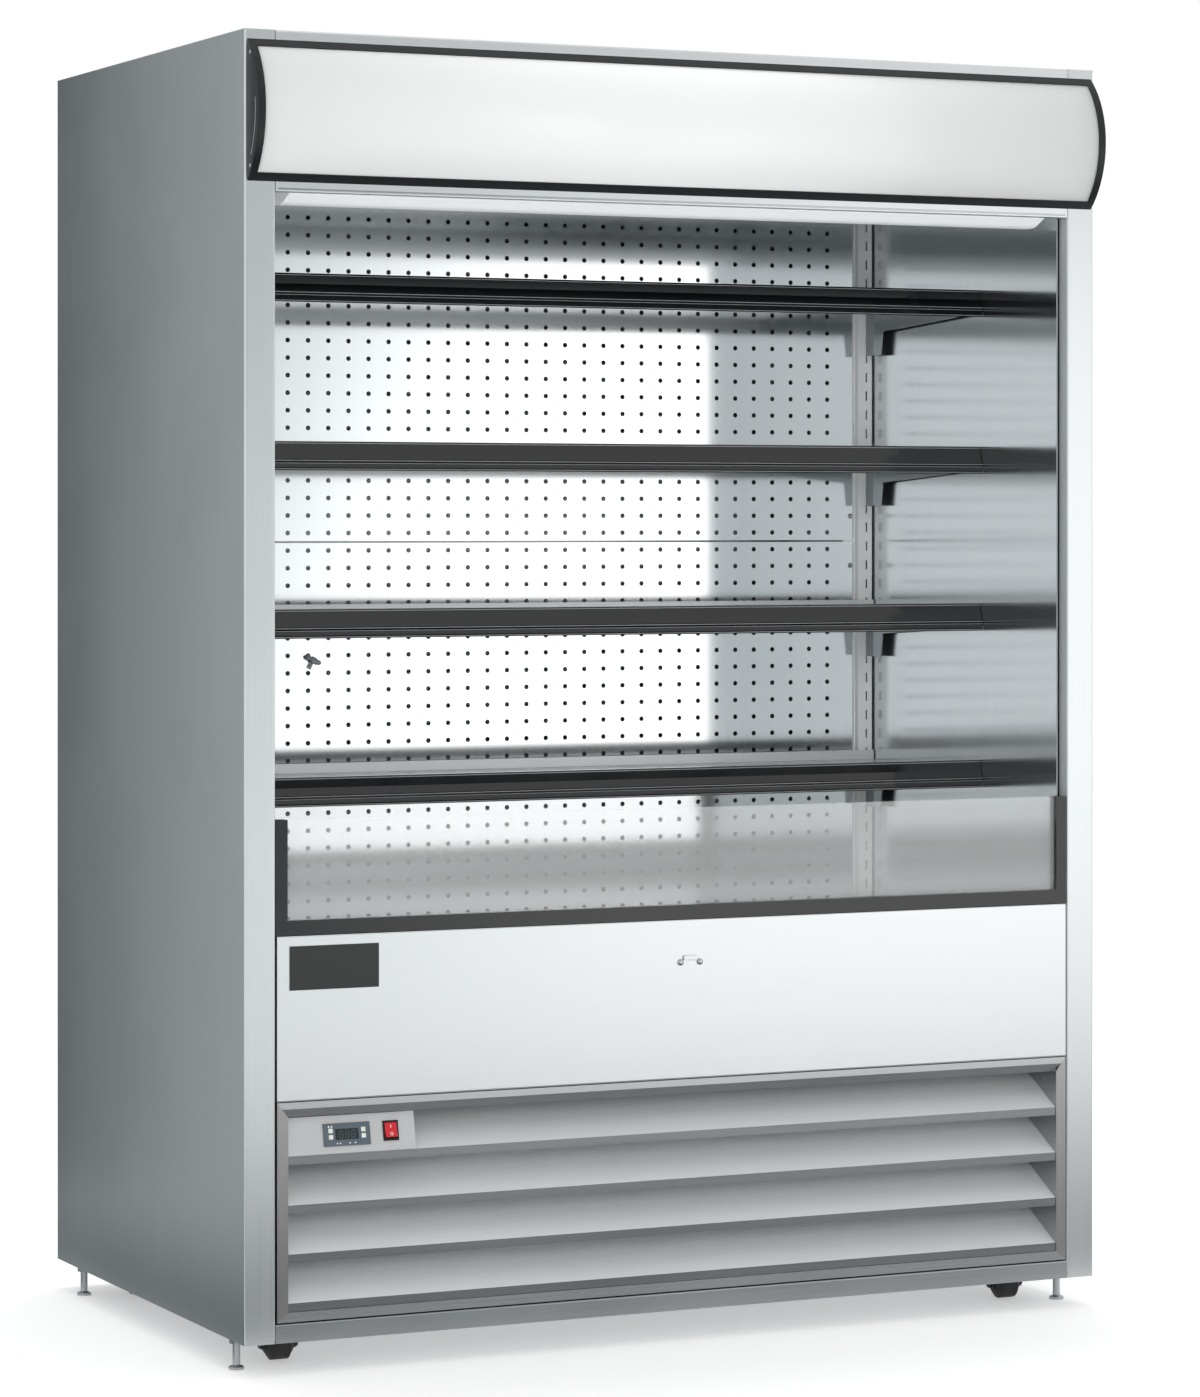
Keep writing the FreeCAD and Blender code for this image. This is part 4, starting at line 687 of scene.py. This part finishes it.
# The display is a smoked window with three dark seven-segment figures behind it.
smoked = mottled("smoked_acrylic", "#12191c", "#192124", 0.02, 0.12, 0.03, 0.000005)
bezel = flat_faces("controller_housing", forward)[0]
centre, across, up, out = bezel
window_width, window_height = 0.0388, 0.0168
window_middle = -0.0005  # from the bezel's own
window_depth = 0.0006
window_centre = centre + across * window_middle - out * window_depth
printed("display_window", (window_centre, across, up, out),
        [bar_stroke(0, 0, window_width, window_height)], smoked, "cabinet")
unlit = mottled("unlit_led_segments", "#3a4a4c", "#455658", 0.01, 0.3, 0.05, 0.000005)
digit_width, digit_height, digit_pitch, segment = 0.0062, 0.0108, 0.0102, 0.0013
mitre = 1.4 * segment  # what a segment leaves free for its neighbours
segments = []
for place in (-1, 0, 1):
    x = place * digit_pitch
    for level in (-1, 0, 1):
        segments.append(bar_stroke(x, level * digit_height / 2, digit_width - mitre, segment))
    for side in (-1, 1):
        for half in (-1, 1):
            segments.append(bar_stroke(x + side * digit_width / 2, half * digit_height / 4,
                                       segment, digit_height / 2 - mitre))
printed("display_figures", (window_centre + out * film, across, up, out), segments, unlit,
        "cabinet")

# Signs on the bezel: four small bars above the window and two squares below its right end.
sign_level, sign_places = 0.0135, (-0.013, -0.004, 0.012, 0.017)
square_level, square_places = -0.0125, (0.0245, 0.0295)
signs = [bar_stroke(x, sign_level, 0.0022, 0.0018) for x in sign_places]
signs += [bar_stroke(x, square_level, 0.0024, 0.0024) for x in square_places]
printed("controller_marks", bezel, signs, white_ink, "cabinet")

# ---------------------------------------------------------------- studio
# A pale floor that runs out of sight, two soft lamps, cards that only gloss sees, and the camera.
# None of it is part of the object.


def staged_card(name, corners, finish):
    """A flat card of the studio, which isn't part of the object."""
    mesh = bpy.data.meshes.new(name)
    mesh.from_pydata(corners, [], [(0, 1, 2, 3)])
    mesh.materials.append(finish)
    made = bpy.data.objects.new(name, mesh)
    bpy.context.scene.collection.objects.link(made)
    return made


def upright_corners(x0, x1, y, z0, z1):
    """The corners of a card that stands across the view."""
    return [(x0, y, z0), (x1, y, z0), (x1, y, z1), (x0, y, z1)]


def floor_corners(x0, x1, y0, y1, z):
    """The corners of a card that lies level."""
    return [(x0, y0, z), (x1, y0, z), (x1, y1, z), (x0, y1, z)]


def seen_plainly(tree):
    """One for a ray from the camera, from gloss or through glass, and nought for any other."""
    path = add(tree, "LightPath", {}, {})
    either = add(tree, "Math", {"operation": "MAXIMUM"},
                 {0: path.outputs["Is Camera Ray"], 1: path.outputs["Is Glossy Ray"]})
    return add(tree, "Math", {"operation": "MAXIMUM"},
               {0: either.outputs[0], 1: path.outputs["Is Transmission Ray"]}).outputs[0]


# White paper; what looks straight at it, or sees it in metal or glass, finds a little light added,
# so that it ends in plain white and keeps the cabinet's shadow.
paper, tree, shader = material("matte_white_paper", Roughness=0.9)
shader.inputs["Base Color"].default_value = linear("#f2f2f2")
shader.inputs["Emission Color"].default_value = (1, 1, 1, 1)
added_light = 0.36
lift = add(tree, "Math", {"operation": "MULTIPLY"}, {0: seen_plainly(tree), 1: added_light})
tree.links.new(lift.outputs[0], shader.inputs["Emission Strength"])
floor_reach = 40.0
staged_card("studio_floor", floor_corners(-floor_reach, floor_reach, -floor_reach, floor_reach, 0),
            paper)

world = bpy.data.worlds.new("studio_world")
bpy.context.scene.world = world
world.use_nodes = True
tree = world.node_tree
background = tree.nodes["Background"]
facing = add(tree, "TexCoord", {}, {}).outputs["Generated"]
# The light is strongest from the front and falls off overhead and behind.
toward = add(tree, "VectorMath", {"operation": "DOT_PRODUCT"}, {0: facing, 1: (0.2, -0.95, 0.1)})
shade = add(tree, "MapRange", {"interpolation_type": "SMOOTHSTEP"},
            {"Value": toward.outputs["Value"], "From Min": -0.6, "From Max": 0.8,
             "To Min": 0.6, "To Max": 0.82})
plain = add(tree, "Mix", {"data_type": "FLOAT"},
            {"Factor": seen_plainly(tree), "A": shade.outputs["Result"], "B": 1.0})
tree.links.new(plain.outputs[0], background.inputs["Strength"])
background.inputs["Color"].default_value = (1, 1, 1, 1)


def soft_card(name, place, target, width, height, power):
    """A rectangular lamp facing its target, unseen by the camera and by gloss."""
    lamp = bpy.data.lights.new(name, "AREA")
    lamp.shape = "RECTANGLE"
    lamp.size = width
    lamp.size_y = height
    lamp.energy = power
    made = bpy.data.objects.new(name, lamp)
    made.location = place
    direction = np.array(target) - np.array(place)
    x, y, z = direction / np.linalg.norm(direction)
    made.rotation_euler = (math.acos(-z), 0, math.atan2(-x, y))
    made.visible_camera = False
    made.visible_glossy = False
    bpy.context.scene.collection.objects.link(made)


# The front lamp stands to the left and reaches the right rear corner; the top lamp throws the
# shadow.
soft_card("card_front", (-1.4, -6.6, 1.7), (0.2, 0, 1.0), 2.2, 2.6, 112)
soft_card("card_top", (0.2, 0.7, 5.0), (0, -0.2, 1.0), 2.6, 2.0, 95)


def gloss_card(name, corners, toward, start, end, first, last, strength=1.0):
    """A card that only gloss sees: its shade runs smoothly from first to last as the distance along
    the direction toward goes from start to end."""
    finish, tree, shader = material(name + "_paper", Roughness=1.0)
    shader.inputs["Base Color"].default_value = (0, 0, 0, 1)
    shader.inputs["Specular IOR Level"].default_value = 0.0
    shader.inputs["Emission Strength"].default_value = strength
    place = add(tree, "TexCoord", {}, {}).outputs["Object"]
    along = add(tree, "VectorMath", {"operation": "DOT_PRODUCT"}, {0: place, 1: toward})
    level = add(tree, "MapRange", {"interpolation_type": "SMOOTHSTEP"},
                {"Value": along.outputs["Value"], "From Min": start, "From Max": end})
    colour = add(tree, "Mix", {"data_type": "RGBA"},
                 {"Factor": level.outputs["Result"], 6: linear(first), 7: linear(last)})
    tree.links.new(colour.outputs[2], shader.inputs["Emission Color"])
    made = staged_card(name, corners, finish)
    for ray in ("camera", "diffuse", "transmission", "volume_scatter", "shadow"):
        setattr(made, "visible_" + ray, False)


back_y, front_y = 1.6, -4.6  # where the upright cards stand
over_floor = 0.004
# Behind on the left: the side panel mirrors it, dark towards the rear and paler near the front.
gloss_card("card_rear_left", upright_corners(-3.2, -0.85, back_y, 0, 3.2), (1, 0, 0), -1.6, -1.12,
           "#bcc1c3", "#343a3d")
gloss_card("card_floor_left", floor_corners(-3.2, -0.8, -0.4, back_y, over_floor), (1, 0, 0),
           -1.5, -0.85, "#b4b9bb", "#63696c")
# Before the front on the left: the liner mirrors it, and so does the rear panels' right end.
gloss_card("card_front_left", upright_corners(-5, -0.9, front_y, 0, 3.4), (1, 0, 0), -2.2, -1.35,
           "#f0f3f4", "#a9afb2", 1.25)
# Before the front in the middle: a wide soft light that dims up and to the left, for the jambs,
# the front panel and the rear panels; above it a grey one for the roof's edge.
high_from, high_to = 2.36, 2.8
gloss_card("card_front_middle", upright_corners(0.1, 4.6, front_y, 0, high_from), (1, 0, -0.45),
           0, 1.8, "#9da3a6", "#ffffff", 1.65)
gloss_card("card_front_high", upright_corners(-1.5, 6, front_y, high_from, high_to), (0, 0, 1),
           high_from, high_to, "#62686c", "#4d5357")
# On the floor in front: the plinth, the louvre's bars and the slats' lips mirror it as dark grey.
gloss_card("card_floor_front", floor_corners(-2.5, 4.5, -2.5, -0.62, over_floor), (0, 1, 0),
           -2.5, -1.7, "#d6d9da", "#85888b")

# The camera stands level, so upright edges stay parallel; its view is shifted down instead.
camera_data = bpy.data.cameras.new("camera")
camera_data.lens = 115.22
camera_data.shift_y = -0.1268
camera = bpy.data.objects.new("camera", camera_data)
camera.location = (-3.14844, -6.79208, 1.30183)
camera.rotation_euler = (math.radians(90), 0, math.radians(-25.19))
bpy.context.scene.collection.objects.link(camera)
bpy.context.scene.camera = camera
bpy.context.scene.view_settings.view_transform = "Standard"
